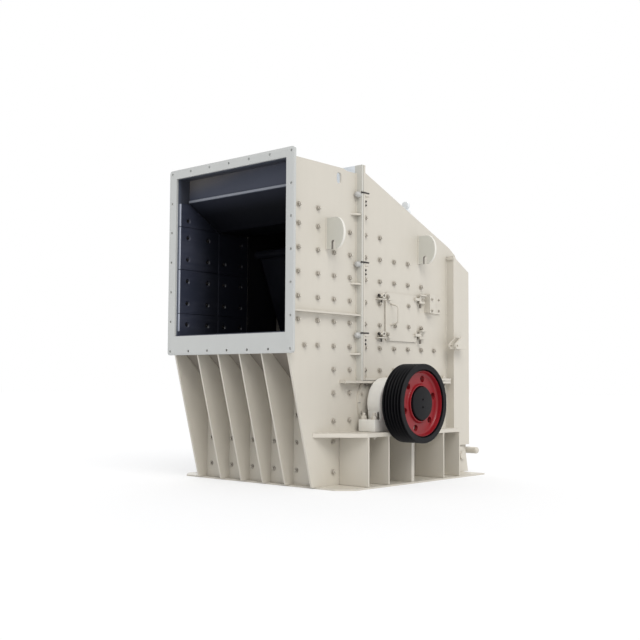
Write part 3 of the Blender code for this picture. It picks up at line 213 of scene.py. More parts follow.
class BearingSettings(bpy.types.PropertyGroup):
    bore: length_prop("Bore radius", "Round the shaft", 0.107)
    shoulder: length_prop("Shoulder", "Of the barrel, from the housing's inner end", 0.004)
    cover: length_prop("Cover thickness", "Of the round end cover", 0.014)
    cover_radius: length_prop("Cover radius", "Of the round end cover", 0.183)
    cover_circle: length_prop("Cover bolt circle", "Radius that the cover's bolts lie on", 0.155)
    barrel_edge: length_prop("Barrel edge", "Rounding of the barrel's ends", 0.020)
    foot_inner: length_prop("Foot's inner edge", "Place on X", 0.842)
    foot_lip: length_prop("Foot lip", "How far the foot stands before the barrel", 0.005)
    foot_height: length_prop("Foot height", "Over the shelf", 0.118)
    neck: length_prop("Neck", "Half the width where the barrel meets the foot", 0.228)
    anchor_reach: length_prop("Anchor bolt reach", "From the shaft along Y", 0.292)
    anchor_inset: length_prop("Anchor bolt inset", "From the foot's ends along X", 0.034)


class WeldSettings(bpy.types.PropertyGroup):
    radius: length_prop("Bead radius", "Of the rounded weld bead", 0.007)
    ripple: length_prop("Ripple length", "From ripple to ripple", 0.012)
    fillet: length_prop("Fillet", "From the plates' corner to the bead's middle", 0.002)


class StageSettings(bpy.types.PropertyGroup):
    key: FloatProperty(name="Key lamp", description="Strength of the lamp at the right front", default=1.60)
    key_tint: colour_prop("Key tint", "Colour of the lamp at the right front", (1.0, 0.975, 0.94))
    key_softness: angle_prop("Key softness", "How wide the key lamp looks", 38)
    back: FloatProperty(name="Back lamp", description="Strength of the lamp at the left rear", default=0.7)
    back_softness: angle_prop("Back softness", "How wide the back lamp looks", 50)
    ambient: FloatProperty(name="Ambient light", description="Strength of the sky's light", default=0.645)
    floor: colour_prop("Floor", "Colour of the floor", (0.95, 0.95, 0.95))
    camera: FloatVectorProperty(
        name="Camera place", description="Where the camera stands", size=3, unit="LENGTH",
        default=(6.77906, -6.89266, 0.99933),
    )
    heading: angle_prop("Camera heading", "Turned left from facing +Y", 41.198)
    pitch: angle_prop("Camera pitch", "Up from level", 3.6446)
    roll: angle_prop("Camera roll", "About the line of sight", 0.3209)
    lens: FloatProperty(name="Lens", description="Focal length for the sensor", unit="CAMERA", default=54.289)
    sensor: FloatProperty(name="Sensor", description="Width of the sensor", unit="CAMERA", default=36.0)


class Signal:
    """A socket of a node tree that takes part in Python expressions."""

    def __init__(self, tree, socket):
        self.tree = tree
        self.socket = socket

    def math(self, operation, first, second):
        return add(self.tree, "ShaderNodeMath", {"operation": operation}, {0: first, 1: second})

    def __add__(self, other):
        return self.math("ADD", self, other)

    def __sub__(self, other):
        return self.math("SUBTRACT", self, other)

    def __rsub__(self, other):
        return self.math("SUBTRACT", other, self)

    def __mul__(self, other):
        return self.math("MULTIPLY", self, other)

    __radd__ = __add__
    __rmul__ = __mul__


def add(tree, kind, settings=None, sockets=None, output=0):
    """A node of a kind with its settings, then the values or links of its sockets."""
    node = tree.nodes.new(kind)
    for name, value in (settings or {}).items():
        setattr(node, name, value)
    for key, value in (sockets or {}).items():
        socket = node.inputs[key]
        if isinstance(value, Signal):
            tree.links.new(value.socket, socket)
        else:
            socket.default_value = value
    return Signal(tree, node.outputs[output])


def ramp(tree, signal, low, high):
    """0 below low, 1 above high and smooth between them."""
    settings = {"interpolation_type": "SMOOTHSTEP", "clamp": True}
    return add(tree, "ShaderNodeMapRange", settings, {"Value": signal, "From Min": low, "From Max": high})


def object_place(tree):
    return add(tree, "ShaderNodeTexCoord", output="Object")


def axis_parts(tree, vector):
    """X, Y and Z of a vector."""
    node = tree.nodes.new("ShaderNodeSeparateXYZ")
    tree.links.new(vector.socket, node.inputs[0])
    return [Signal(tree, node.outputs[letter]) for letter in "XYZ"]


def noise(tree, place, scale, detail=2.0, stretch=None):
    if stretch:
        place = add(tree, "ShaderNodeMapping", sockets={"Vector": place, "Scale": stretch})
    sockets = {"Vector": place, "Scale": scale, "Detail": detail}
    return add(tree, "ShaderNodeTexNoise", sockets=sockets, output="Fac")


def mix_colour(tree, share, first, second):
    def full(colour):
        return colour if isinstance(colour, Signal) else (*colour, 1.0)

    sockets = {0: share, 6: full(first), 7: full(second)}
    return add(tree, "ShaderNodeMix", {"data_type": "RGBA"}, sockets, output=2)


def scaled_colour(tree, colour, factor):
    return add(tree, "ShaderNodeVectorMath", {"operation": "SCALE"}, {0: colour, "Scale": factor})


def new_material(name):
    """The node tree and the shader of a new material."""
    finish = bpy.data.materials.new(name)
    finish.use_nodes = True
    return finish.node_tree, finish.node_tree.nodes["Principled BSDF"]


def feed(tree, shader, socket, signal):
    tree.links.new(signal.socket, shader.inputs[socket])


def bump(tree, height, strength, distance):
    return add(tree, "ShaderNodeBump", sockets={"Height": height, "Strength": strength, "Distance": distance})


def inner_faces(tree, place, facing):
    """The side walls' inner faces over the feed floor and behind the front wall."""
    x, y, z = axis_parts(tree, place)
    wall_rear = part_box("front_wall")[1].y
    inner = ramp(tree, x * x, (INSIDE + 0.0012) ** 2, (INSIDE + 0.0008) ** 2)
    before_wall = ramp(tree, y, wall_rear - 0.004, wall_rear - 0.008)
    under_floor = ramp(tree, z - (FLOOR_END - (y - FLOOR_REAR) * FLOOR_SLOPE), 0.004, -0.004)
    return inner * (1 - before_wall * under_floor)


def trough_faces(tree, place):
    """The open trough over the sunk roof."""
    y, z = axis_parts(tree, place)[1:]
    sloping = LINTEL_TOP - (y - LINTEL_REAR) * ROOF_SLOPE
    over_roof = ramp(tree, z - sloping.math("MAXIMUM", sloping, ROOF_FLAT), -0.004, 0.002)
    behind_lintel = ramp(tree, y, LINTEL_REAR - 0.004, LINTEL_REAR)
    return over_roof * behind_lintel * ramp(tree, y, FLANGE_FRONT + 0.028, FLANGE_FRONT + 0.026)


def under_faces(tree, place, facing):
    """The under side of the roofs, without their rear edge."""
    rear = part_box("rear_wall")[0].y
    before_edge = ramp(tree, axis_parts(tree, place)[1], rear, rear - 0.002)
    return ramp(tree, axis_parts(tree, facing)[2], 0.05, -0.05) * before_edge


def ring_faces(tree, place, facing):
    """The edges of the split flange that face into the machine."""
    x, _y, z = axis_parts(tree, facing)
    across = ramp(tree, x * x, 0.2, 0.4)
    return inner_faces(tree, place, facing) * across.math("MAXIMUM", across, ramp(tree, z, -0.2, -0.4))


def front_faces(tree, place, facing):
    """The faces towards the inlet."""
    return ramp(tree, axis_parts(tree, facing)[1], 0.05, -0.05)


def outward_faces(tree, place, facing):
    """The faces towards either side of the machine."""
    x = axis_parts(tree, facing)[0]
    return ramp(tree, x * x, 0.10, 0.25)


def flat_faces(tree, place, facing):
    """The faces of a nut's ends, on the side walls."""
    x = axis_parts(tree, facing)[0]
    return ramp(tree, x * x, 0.80, 0.90)


def forward_faces(tree, place, facing):
    """The faces of a nut's ends, on the front wall."""
    y = axis_parts(tree, facing)[1]
    return ramp(tree, y * y, 0.80, 0.90)


def paint_material(name, colour, other=None, where=None, rough=0.42):
    """Sprayed satin paint on welded plate, with painted shade that darkens the corners and creases.

    other makes the colour of some faces, and where tells which they are."""
    tree, shader = new_material(name)
    paints = bpy.context.scene.crusher_paint
    place = object_place(tree)
    broad = noise(tree, place, 1.6, 3)
    runs = noise(tree, place, 1.0, 3, stretch=(11, 11, 0.8))
    grain = noise(tree, place, 90, 2)
    tone = 1 + (broad - 0.5) * 0.06 + (runs - 0.5) * 0.045 + (grain - 0.5) * 0.03
    colour = tuple(colour)
    if other:
        facing = add(tree, "ShaderNodeTexCoord", output="Normal")
        colour = mix_colour(tree, where(tree, place, facing), colour, other(tree, place, paints))
    base = scaled_colour(tree, colour, tone)
    # Painted shade: ambient occlusion darkens the paint towards a tint where plates meet and in creases
    corner = corner_shade(tree, 0.08, 0.30, 0.95) * (0.06 + 0.24 * broad)
    crease = corner_shade(tree, 0.014, 0.30, 0.90) * 0.50
    corner_shaded = add(tree, "ShaderNodeVectorMath", {"operation": "MULTIPLY"}, {0: base, 1: tuple(paints.corner_shade_tint)})
    share = corner.math("MAXIMUM", corner, crease)
    feed(tree, shader, "Base Color", mix_colour(tree, share, base, corner_shaded))
    feed(tree, shader, "Roughness", rough + (broad - 0.5) * 0.12 + (grain - 0.5) * 0.08)
    peel = noise(tree, place, 420, 1)
    waves = noise(tree, place, 3.2, 1)
    feed(tree, shader, "Normal", bump(tree, peel * 0.0004 + waves * 0.004, 0.5, 1.0))


def primer_colour(tree, place, paints):
    """Inside paint with painted light and shade: lighter by the mouth where light falls in, painted shade turning
    it black far inside, and pale painted sky light in the trough over the roof.
    """
    y = axis_parts(tree, place)[1]
    # Painted light: the primer lighter by the mouth
    primer = mix_colour(tree, ramp(tree, y, -0.42, -0.49), tuple(paints.primer), tuple(paints.mouth_lit_primer))
    # Painted shade: black further inside
    primer = mix_colour(tree, ramp(tree, y, -0.05, 0.45), primer, tuple(paints.deep_shade))
    # Painted sky light: pale in the trough over the roof
    return mix_colour(tree, trough_faces(tree, place), primer, tuple(paints.trough))


def ear_edge_light_and_slot_shade(tree, place, paints):
    """Painted highlight on a lifting ear's outer edge, and painted shade inside its slot."""
    x = axis_parts(tree, place)[0]
    outer = ramp(tree, x * x, EAR_SLOT_END ** 2, (EAR_SLOT_END + 0.005) ** 2)
    return mix_colour(tree, outer, tuple(paints.worn_bolt_and_shade), tuple(paints.ear_edge_highlight))


def ivory_colour(tree, place, paints):
    return tuple(paints.ivory)


# Painted shade for the feed floor's under side
def under_shade_colour(tree, place, paints):
    return tuple(paints.painted_under_shade)


def corner_shade(tree, distance, low, high):
    """0 on open plate, up to 1 where plates closer than the distance meet."""
    open_sky = add(tree, "ShaderNodeAmbientOcclusion", {"samples": 6}, {"Distance": distance}, output="AO")
    return ramp(tree, 1 - open_sky, low, high)


def liner_material(paints):
    """Rolled wear plate under a thin dark coat, with stone dust and painted light by the mouth, and painted shade
    making it black further in.
    """
    tree, shader = new_material("wear_plate")
    place = object_place(tree)
    y = axis_parts(tree, place)[1]
    broad = noise(tree, place, 2.4, 4)
    scuffs = noise(tree, place, 1.0, 4, stretch=(14, 5, 40))
    grain = noise(tree, place, 140, 3)
    dust = ramp(tree, broad * 0.6 + scuffs * 0.4, 0.42, 0.72)
    # Painted light and shade: the plate is lighter towards the mouth and black further in
    mouth_light = ramp(tree, y, 0.02, -0.47)
    dark = scaled_colour(tree, tuple(paints.liner), 0.25 + 0.2 * grain + mouth_light * (0.9 + 1.1 * broad))
    # Dust by the mouth, mixed in more where the painted light is
    share = dust * (0.03 + mouth_light * 0.26)
    dusty = mix_colour(tree, share, dark, tuple(paints.liner_dust_and_light))
    off_seam = y - LINER_COLUMN - 0.0055   # a painted highlight: a thin light line behind the liners' upright joint
    seam_highlight = ramp(tree, off_seam * off_seam, 0.003 ** 2, 0.0015 ** 2) * 0.5
    feed(tree, shader, "Base Color", mix_colour(tree, seam_highlight, dusty, tuple(paints.liner_dust_and_light)))
    feed(tree, shader, "Roughness", 0.36 + 0.25 * dust + (grain - 0.5) * 0.1)
    feed(tree, shader, "Normal", bump(tree, grain * 0.0006 + scuffs * 0.0012, 0.6, 1.0))
    shader.inputs["Specular IOR Level"].default_value = 0.35


def lintel_material(paints):
    """The roof's wear plate: primed blue grey and dusty where it faces the inlet, and black below, with painted
    light making that black lighter towards the mouth.
    """
    tree, shader = new_material("lintel_plate")
    place = object_place(tree)
    x, y, z = axis_parts(tree, place)
    broad = noise(tree, place, 2.0, 3)
    grain = noise(tree, place, 120, 3)
    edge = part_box("roof_liner")[0].y
    upright = ramp(tree, y, edge + 0.004, edge + 0.002)
    dust = ramp(tree, z * 0.9 - x * 0.12 + broad * 0.16, 2.74, 2.94)
    plate = mix_colour(tree, dust * 0.8, tuple(paints.lintel), tuple(paints.lintel_dust))
    # Painted light: the black is lighter towards the mouth and darker further in
    black = scaled_colour(tree, tuple(paints.liner), 0.20 + ramp(tree, y, -0.15, -0.36) * 0.5)
    tone = 0.80 + 0.4 * broad + 0.1 * grain
    shader.inputs["Specular IOR Level"].default_value = 0.2
    feed(tree, shader, "Base Color", scaled_colour(tree, mix_colour(tree, upright, black, plate), tone))
    feed(tree, shader, "Roughness", 0.42 + 0.2 * broad)
    feed(tree, shader, "Normal", bump(tree, grain, 0.3, 0.0006))


def metal_material(name, colour, rough, metallic):
    """Machined or black-oxide steel with turning marks and uneven gloss."""
    tree, shader = new_material(name)
    place = object_place(tree)
    grain = noise(tree, place, 60, 3)
    marks = noise(tree, place, 1.0, 2, stretch=(260, 18, 18))
    feed(tree, shader, "Base Color", scaled_colour(tree, tuple(colour), 0.85 + 0.3 * grain))
    feed(tree, shader, "Roughness", rough + (grain - 0.5) * 0.2 + (marks - 0.5) * 0.12)
    shader.inputs["Metallic"].default_value = metallic
    feed(tree, shader, "Normal", bump(tree, marks, 0.3, 0.0004))


def gloss_material(name, colour, rough, shine, coat=0.0):
    """Brushed enamel on a casting, with a slightly uneven skin."""
    tree, shader = new_material(name)
    place = object_place(tree)
    broad = noise(tree, place, 7, 3)
    skin = noise(tree, place, 160, 2)
    tone = 0.86 + 0.28 * broad
    # Painted shade: the casting's creases are darkened towards black
    crease = corner_shade(tree, 0.05, 0.20, 0.95) * 0.55
    base = scaled_colour(tree, tuple(colour), tone)
    feed(tree, shader, "Base Color", mix_colour(tree, crease, base, tuple(0.12 * part for part in colour)))
    feed(tree, shader, "Roughness", rough + (broad - 0.5) * 0.16)
    feed(tree, shader, "Normal", bump(tree, skin * 0.0005 + broad * 0.002, 0.5, 1.0))
    shader.inputs["Specular IOR Level"].default_value = shine
    shader.inputs["Coat Weight"].default_value = coat
    shader.inputs["Coat Roughness"].default_value = 0.18


def material(name):
    return bpy.data.materials[name]


def link(thing):
    bpy.context.scene.collection.objects.link(thing)
    return thing


def mesh_from(work, name):
    mesh = bpy.data.meshes.new(name)
    bmesh.ops.recalc_face_normals(work, faces=work.faces)
    work.to_mesh(mesh)
    work.free()
    return mesh


def plain_mesh(thing):
    """The evaluated mesh of an object in its place, and the object is removed."""
    bpy.context.view_layer.update()
    mesh = bpy.data.meshes.new_from_object(thing.evaluated_get(bpy.context.evaluated_depsgraph_get()))
    mesh.transform(thing.matrix_world)
    bpy.data.objects.remove(thing, do_unlink=True)
    return mesh


def welded(mesh):
    """The mesh with its doubles merged and its faces outwards."""
    work = bmesh.new()
    work.from_mesh(mesh)
    bpy.data.meshes.remove(mesh)
    bmesh.ops.remove_doubles(work, verts=work.verts, dist=MERGE_DISTANCE)
    return mesh_from(work, "welded")


# Turns a flat outline so that it faces along an axis
TURNS = {
    "X": Matrix(((0, 0, 1), (1, 0, 0), (0, 1, 0))).to_4x4(),
    "Y": Matrix(((1, 0, 0), (0, 0, -1), (0, 1, 0))).to_4x4(),
    "Z": Matrix.Identity(4),
}


def plate(axis, low, high, outline, holes=()):
    """A flat outline with holes, as thick as the span low to high on the axis."""
    curve = bpy.data.curves.new("outline", "CURVE")
    curve.dimensions = "2D"
    curve.fill_mode = "BOTH"
    curve.extrude = (high - low) / 2
    for points in (outline, *holes):
        spline = curve.splines.new("POLY")
        spline.points.add(len(points) - 1)
        for place, (u, v) in zip(spline.points, points):
            place.co = (u, v, 0, 1)
        spline.use_cyclic_u = True
    thing = link(bpy.data.objects.new("outline", curve))
    middle = Vector([(low + high) / 2 if letter == axis else 0 for letter in "XYZ"])
    thing.matrix_world = Matrix.Translation(middle) @ TURNS[axis]
    return welded(plain_mesh(thing))


def block(low, high):
    """A straight-sided block between two corners."""
    work = bmesh.new()
    middle = (Vector(low) + Vector(high)) / 2
    size = Vector(high) - Vector(low)
    bmesh.ops.create_cube(work, size=1.0, matrix=Matrix.Translation(middle) @ Matrix.Diagonal((*size, 1)))
    return mesh_from(work, "block")


def turned(profile, centre, axis="X", steps=32):
    """(place along the axis, radius) points turned about an axis through the centre."""
    mesh = bpy.data.meshes.new("profile")
    count = len(profile)
    closing = [] if profile[0][1] == 0 and profile[-1][1] == 0 else [(count - 1, 0)]
    edges = [(k, k + 1) for k in range(count - 1)] + closing
    mesh.from_pydata([(radius, 0, along) for along, radius in profile], edges, [])
    thing = link(bpy.data.objects.new("profile", mesh))
    screw = thing.modifiers.new("turn", "SCREW")
    screw.axis = "Z"
    screw.steps = steps
    screw.render_steps = steps
    screw.use_merge_vertices = True
    screw.merge_threshold = 0.00005
    turn = {"X": Matrix.Rotation(math.pi / 2, 4, "Y"), "Y": Matrix.Rotation(-math.pi / 2, 4, "X")}
    thing.matrix_world = Matrix.Translation(centre) @ turn.get(axis, Matrix.Identity(4))
    return welded(plain_mesh(thing))


def rod(start, end, radius, steps=16, edge=0.0):
    """A round bar between two points, with its ends' edges taken off."""
    start, end = Vector(start), Vector(end)
    length = (end - start).length
    side = [(0, radius), (length, radius)]
    if edge:
        side = [(0, radius - edge), (edge, radius), (length - edge, radius), (length, radius - edge)]
    mesh = turned([(0, 0), *side, (length, 0)], (0, 0, 0), "Z", steps)
    turn = (end - start).to_track_quat("Z", "Y").to_matrix().to_4x4()
    mesh.transform(Matrix.Translation(start) @ turn)
    return mesh


def arc(centre, radius, start, end, steps):
    """Points from one angle in degrees to another."""
    turns = [math.radians(start + (end - start) * k / steps) for k in range(steps + 1)]
    return [(centre[0] + radius * math.cos(a), centre[1] + radius * math.sin(a)) for a in turns]


def circle(centre, radius, steps=20):
    return arc(centre, radius, 0, 360, steps)[:-1]


def rounded(low, high, corner, steps=6):
    """A rectangle with round corners."""
    points = []
    left, right, bottom, top = low[0] + corner, high[0] - corner, low[1] + corner, high[1] - corner
    for k, centre in enumerate(((right, bottom), (right, top), (left, top), (left, bottom))):
        points += arc(centre, corner, 90 * k - 90, 90 * k, steps)
    return points


def eased(mesh, width, segments=2):
    """The mesh with its sharp edges rounded."""
    thing = link(bpy.data.objects.new("eased", mesh))
    round_edges(thing, width, segments)
    return plain_mesh(thing)


def round_edges(thing, width, segments, angle=30):
    """A bevel on an object's edges that are sharper than an angle in degrees."""
    bevel = thing.modifiers.new("edges", "BEVEL")
    bevel.width = width
    bevel.segments = segments
    bevel.limit_method = "ANGLE"
    bevel.angle_limit = math.radians(angle)


def cut(mesh, tool):
    """The mesh without what lies in the tool."""
    body = link(bpy.data.objects.new("body", mesh))
    cutter = link(bpy.data.objects.new("cutter", tool))
    boolean = body.modifiers.new("cut", "BOOLEAN")
    boolean.operation = "DIFFERENCE"
    boolean.object = cutter
    mesh = plain_mesh(body)
    bpy.data.objects.remove(cutter, do_unlink=True)
    return mesh


def merged(meshes):
    """Several meshes as one, each closed by itself."""
    work = bmesh.new()
    for mesh in meshes:
        work.from_mesh(mesh)
    mesh = bpy.data.meshes.new("merged")
    work.to_mesh(mesh)
    work.free()
    return mesh


def mirrored(mesh):
    """The mesh on the machine's other side."""
    copy = mesh.copy()
    copy.transform(Matrix.Diagonal((-1, 1, 1, 1)))
    copy.flip_normals()
    return copy


def both_sides(meshes):
    return meshes + [mirrored(mesh) for mesh in meshes]


def piece(name, mesh, finish, body, smooth=35, replaces=()):
    """A finished piece of the machine on its body."""
    thing = link(bpy.data.objects.new(name, mesh))
    mesh.name = name
    if finish:
        mesh.materials.clear()
        mesh.materials.append(material(finish))
    if smooth:
        mesh.shade_smooth()
        mesh.set_sharp_from_angle(angle=math.radians(smooth))
    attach(thing, body)
    if replaces:
        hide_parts(*replaces)
    return thing


def nut_piece(name, mesh, body):
    """A piece of nuts, which already carry their finish."""
    return piece(name, mesh, None, body, smooth=25)


def new_tree(name, inputs):
    """A Geometry Nodes tree with named inputs of (kind, value)."""
    tree = bpy.data.node_groups.new(name, "GeometryNodeTree")
    tree.interface.new_socket(name="Geometry", in_out="INPUT", socket_type="NodeSocketGeometry")
    for label, (kind, value) in inputs.items():
        socket = tree.interface.new_socket(name=label, in_out="INPUT", socket_type=kind)
        if value is not None:
            socket.default_value = value
    tree.interface.new_socket(name="Geometry", in_out="OUTPUT", socket_type="NodeSocketGeometry")
    group = tree.nodes.new("NodeGroupInput")
    return tree, {socket.name: Signal(tree, socket) for socket in group.outputs if socket.name}


def end_tree(tree, geometry, finish):
    """Makes the tree's copies real and gives them their finish."""
    solid = add(tree, "GeometryNodeRealizeInstances", sockets={"Geometry": geometry})
    painted = add(tree, "GeometryNodeSetMaterial", sockets={"Geometry": solid, "Material": finish})
    output = tree.nodes.new("NodeGroupOutput")
    tree.links.new(painted.socket, output.inputs[0])


def moved_up(tree, geometry, height):
    offset = add(tree, "ShaderNodeCombineXYZ", sockets={"Z": height})
    return add(tree, "GeometryNodeTransform", sockets={"Geometry": geometry, "Translation": offset})


def nut_tree():
    """A washer, a chamfered nut and a stud's end on each point, along the point's facing."""
    length = "NodeSocketFloat"
    tree, given = new_tree(
        "nuts_on_studs",
        {
            "Washer Radius": (length, 0.026),
            "Washer Thickness": (length, 0.005),
            "Nut Radius": (length, 0.022),
            "Nut Height": (length, 0.02),
            "Stud Radius": (length, 0.012),
            "Stud Length": (length, 0.036),
            "Seed": ("NodeSocketInt", 0),
            "Material": ("NodeSocketMaterial", None),
        },
    )
    thickness, height = given["Washer Thickness"], given["Nut Height"]

    def cylinder(sides, radius, depth):
        sizes = {"Vertices": sides, "Radius": radius, "Depth": depth}
        return add(tree, "GeometryNodeMeshCylinder", sockets=sizes)

    def cone(sides, bottom, top, depth):
        sizes = {"Vertices": sides, "Radius Bottom": bottom, "Radius Top": top, "Depth": depth}
        return add(tree, "GeometryNodeMeshCone", sockets=sizes)

    washer = moved_up(tree, cylinder(16, given["Washer Radius"], thickness), thickness * 0.5)
    lower = moved_up(tree, cylinder(6, given["Nut Radius"], height * 0.8), thickness + height * 0.4)
    chamfer = cone(6, given["Nut Radius"], given["Nut Radius"] * 0.88, height * 0.2)
    upper = moved_up(tree, chamfer, thickness + height * 0.8)
    shank = given["Stud Length"] * 0.93
    stud = moved_up(tree, cylinder(12, given["Stud Radius"], shank), shank * 0.5)
    point = cone(12, given["Stud Radius"], given["Stud Radius"] * 0.8, given["Stud Length"] * 0.07)
    tip = moved_up(tree, point, shank)
    joined = tree.nodes.new("GeometryNodeJoinGeometry")
    for part in (washer, lower, upper, stud, tip):
        tree.links.new(part.socket, joined.inputs[0])
    facing = add(tree, "GeometryNodeInputNamedAttribute", {"data_type": "FLOAT_VECTOR"}, {"Name": "facing"})
    aligned = add(tree, "FunctionNodeAlignRotationToVector", {"axis": "Z"}, {"Vector": facing})
    sockets = {"Min": 0.0, "Max": math.tau, "Seed": given["Seed"]}
    turn = add(tree, "FunctionNodeRandomValue", {"data_type": "FLOAT"}, sockets, output="Value")
    spin = add(tree, "ShaderNodeCombineXYZ", sockets={"Z": turn})
    sockets = {"Rotation": aligned, "Rotate By": spin}
    turned_by = add(tree, "FunctionNodeRotateRotation", {"rotation_space": "LOCAL"}, sockets)
    fastener = Signal(tree, joined.outputs[0])
    sockets = {"Points": given["Geometry"], "Instance": fastener, "Rotation": turned_by}
    placed = add(tree, "GeometryNodeInstanceOnPoints", sockets=sockets)
    end_tree(tree, placed, given["Material"])
    return tree


def bead_tree():
    """A rippled weld bead along each edge."""
    length = "NodeSocketFloat"
    tree, given = new_tree(
        "weld_beads",
        {
            "Bead Radius": (length, 0.007),
            "Ripple Length": (length, 0.012),
            "Material": ("NodeSocketMaterial", None),
        },
    )
    path = add(tree, "GeometryNodeMeshToCurve", sockets={"Mesh": given["Geometry"]})
    sockets = {"Curve": path, "Length": given["Ripple Length"]}
    path = add(tree, "GeometryNodeResampleCurve", {"mode": "LENGTH"}, sockets)
    along = add(tree, "GeometryNodeInputIndex")
    ripple = 0.88 + add(tree, "ShaderNodeMath", {"operation": "SINE"}, {0: along * 2.1}) * 0.12
    ring = {"Resolution": 8, "Radius": given["Bead Radius"]}
    section = add(tree, "GeometryNodeCurvePrimitiveCircle", sockets=ring)
    sockets = {"Curve": path, "Profile Curve": section, "Fill Caps": True, "Scale": ripple}
    bead = add(tree, "GeometryNodeCurveToMesh", sockets=sockets)
    end_tree(tree, bead, given["Material"])
    return tree


def grown(tree, mesh, values):
    """What a Geometry Nodes tree makes of a mesh, as a plain mesh."""
    thing = link(bpy.data.objects.new("grown", mesh))
    modifier = thing.modifiers.new("grow", "NODES")
    modifier.node_group = tree
    for item in tree.interface.items_tree:
        if item.in_out == "INPUT" and item.name in values:
            modifier[item.identifier] = values[item.name]
    return plain_mesh(thing)


def points_mesh(places):
    """Vertices at (place, facing) pairs."""
    mesh = bpy.data.meshes.new("points")
    mesh.from_pydata([tuple(place) for place, facing in places], [], [])
    facing = mesh.attributes.new("facing", "FLOAT_VECTOR", "POINT")
    for item, (place, direction) in zip(facing.data, places):
        item.vector = direction
    return mesh


def nuts(places, finish, size=1.0, stud=1.0):
    """Nuts on studs at (place, facing) pairs, at a share of the wall bolts' size and stud length."""
    bolts = bpy.context.scene.crusher_bolts
    values = {
        "Washer Radius": bolts.washer_radius * size,
        "Washer Thickness": bolts.washer_thickness * size,
        "Nut Radius": bolts.nut_radius * size,
        "Nut Height": bolts.nut_height * size,
        "Stud Radius": bolts.stud_radius * size,
        "Stud Length": bolts.stud_length * size * stud,
        "Seed": bolts.seed,
        "Material": material(finish),
    }
    return grown(bpy.data.node_groups["nuts_on_studs"], points_mesh(places), values)


def beads(paths, finish, sizes):
    """Weld beads along lists of points."""
    mesh = bpy.data.meshes.new("paths")
    points, edges = [], []
    for path in paths:
        start = len(points)
        points += [tuple(point) for point in path]
        edges += [(start + k, start + k + 1) for k in range(len(path) - 1)]
    mesh.from_pydata(points, edges, [])
    values = {"Bead Radius": sizes.radius, "Ripple Length": sizes.ripple, "Material": material(finish)}
    return grown(bpy.data.node_groups["weld_beads"], mesh, values)


# Rows of wall bolts: height, columns on the fixed housing, columns on the rear housing
BOLT_ROWS = (
    (2.641, (0, 1), (4,)),
    (2.464, (0, 1, 3), (4, 5)),
    (2.240, (0, 1, 2, 3), (4, 5, 6, 7)),
    (2.016, (0, 1, 2, 3), (4, 5, 6, 7, 8)),
    (1.789, (0, 1, 2, 3), (4, 5)),
    (1.572, (0, 1, 2, 3), (4, 5, 8)),
    (1.339, (1, 2, 3), (4, 5, 6, 7, 8, 9)),
    (1.117, (2, 3), (4, 5, 6, 7, 8, 9)),
    (0.892, (2, 3, 8, 9), ()),
    (0.630, (2, 3, 8, 9), ()),
    (0.424, (2, 8), ()),
    (0.145, (2, 8), ()),
)
EVEN_COLUMNS = 8                        # from the third column on
INLET_COLUMNS = 4                       # columns whose bolts also pass through the side liners
LOW_FRONT_BOLT = (-0.274, 1.337)        # Y and Z of the one bolt that is off the columns
FRONT_ROWS = (0.152, 0.414, 0.676)
FRONT_COLUMNS = tuple(sign * x for x in (0.104, 0.194, 0.402, 0.492, 0.70) for sign in (1, -1))

LINER_SEAMS = (1.683, 2.132, 2.573)     # heights of the joints between the side liners
LINER_COLUMN = 0.057                    # Y of their upright joint
LINER_STRIP = 0.004                     # thickness of the liners' cut edges, and the gap between them

PIN_DROPS = (0.042, 0.082)              # of the two small pins under a clamp
LATCHES = ((1.872, -0.036), (1.484, -0.040))   # height of each swing bolt, and of its lug from there
LATCH_NUT_Y = 0.885
SWITCH_BOLTS_Y = (1.698, 1.822)
DOOR_BOLTS = ((1.337, 1.797), (1.337, 1.575), (1.102, 1.575))   # Y and Z

WEB_THICKNESS = 0.04
RIM_STEP = 0.012                        # from the rim's inside down to the web's outer edge
SHAFT_BORE = 0.0855
COVER_BOLTS = 8
SEAL_BOLTS = (-20, 20, 160, 200, 128, 52)   # degrees round the shaft

JOINT_TOP, JOINT_BOTTOM = 1.040, 0.985  # outer faces of the flanges between the lower and the rear housing
JOINT_REACH = 0.048                     # of their bolts from the wall
JOINT_BOLTS_Y = (0.60, 0.93, 1.27, 1.61, 1.95)

SIDE_RIB = 1.65                         # height of the rib on the side wall
RIB_HALF = 0.010
INLET_WELD = (1.27, 3.08)               # ends of the bead behind the inlet flange
SPLIT_WELD = (1.03, 3.07)               # ends of the bead before the split flange


def column_places():
    """Y of the columns of wall bolts."""
    bolts = bpy.context.scene.crusher_bolts
    even = [bolts.third_column + bolts.pitch * k for k in range(EVEN_COLUMNS)]
    return [bolts.first_column, bolts.second_column, *even]


def quarter(count):
    """Angles from 0 to a right angle in equal steps."""
    return [math.pi / 2 * k / count for k in range(count + 1)]


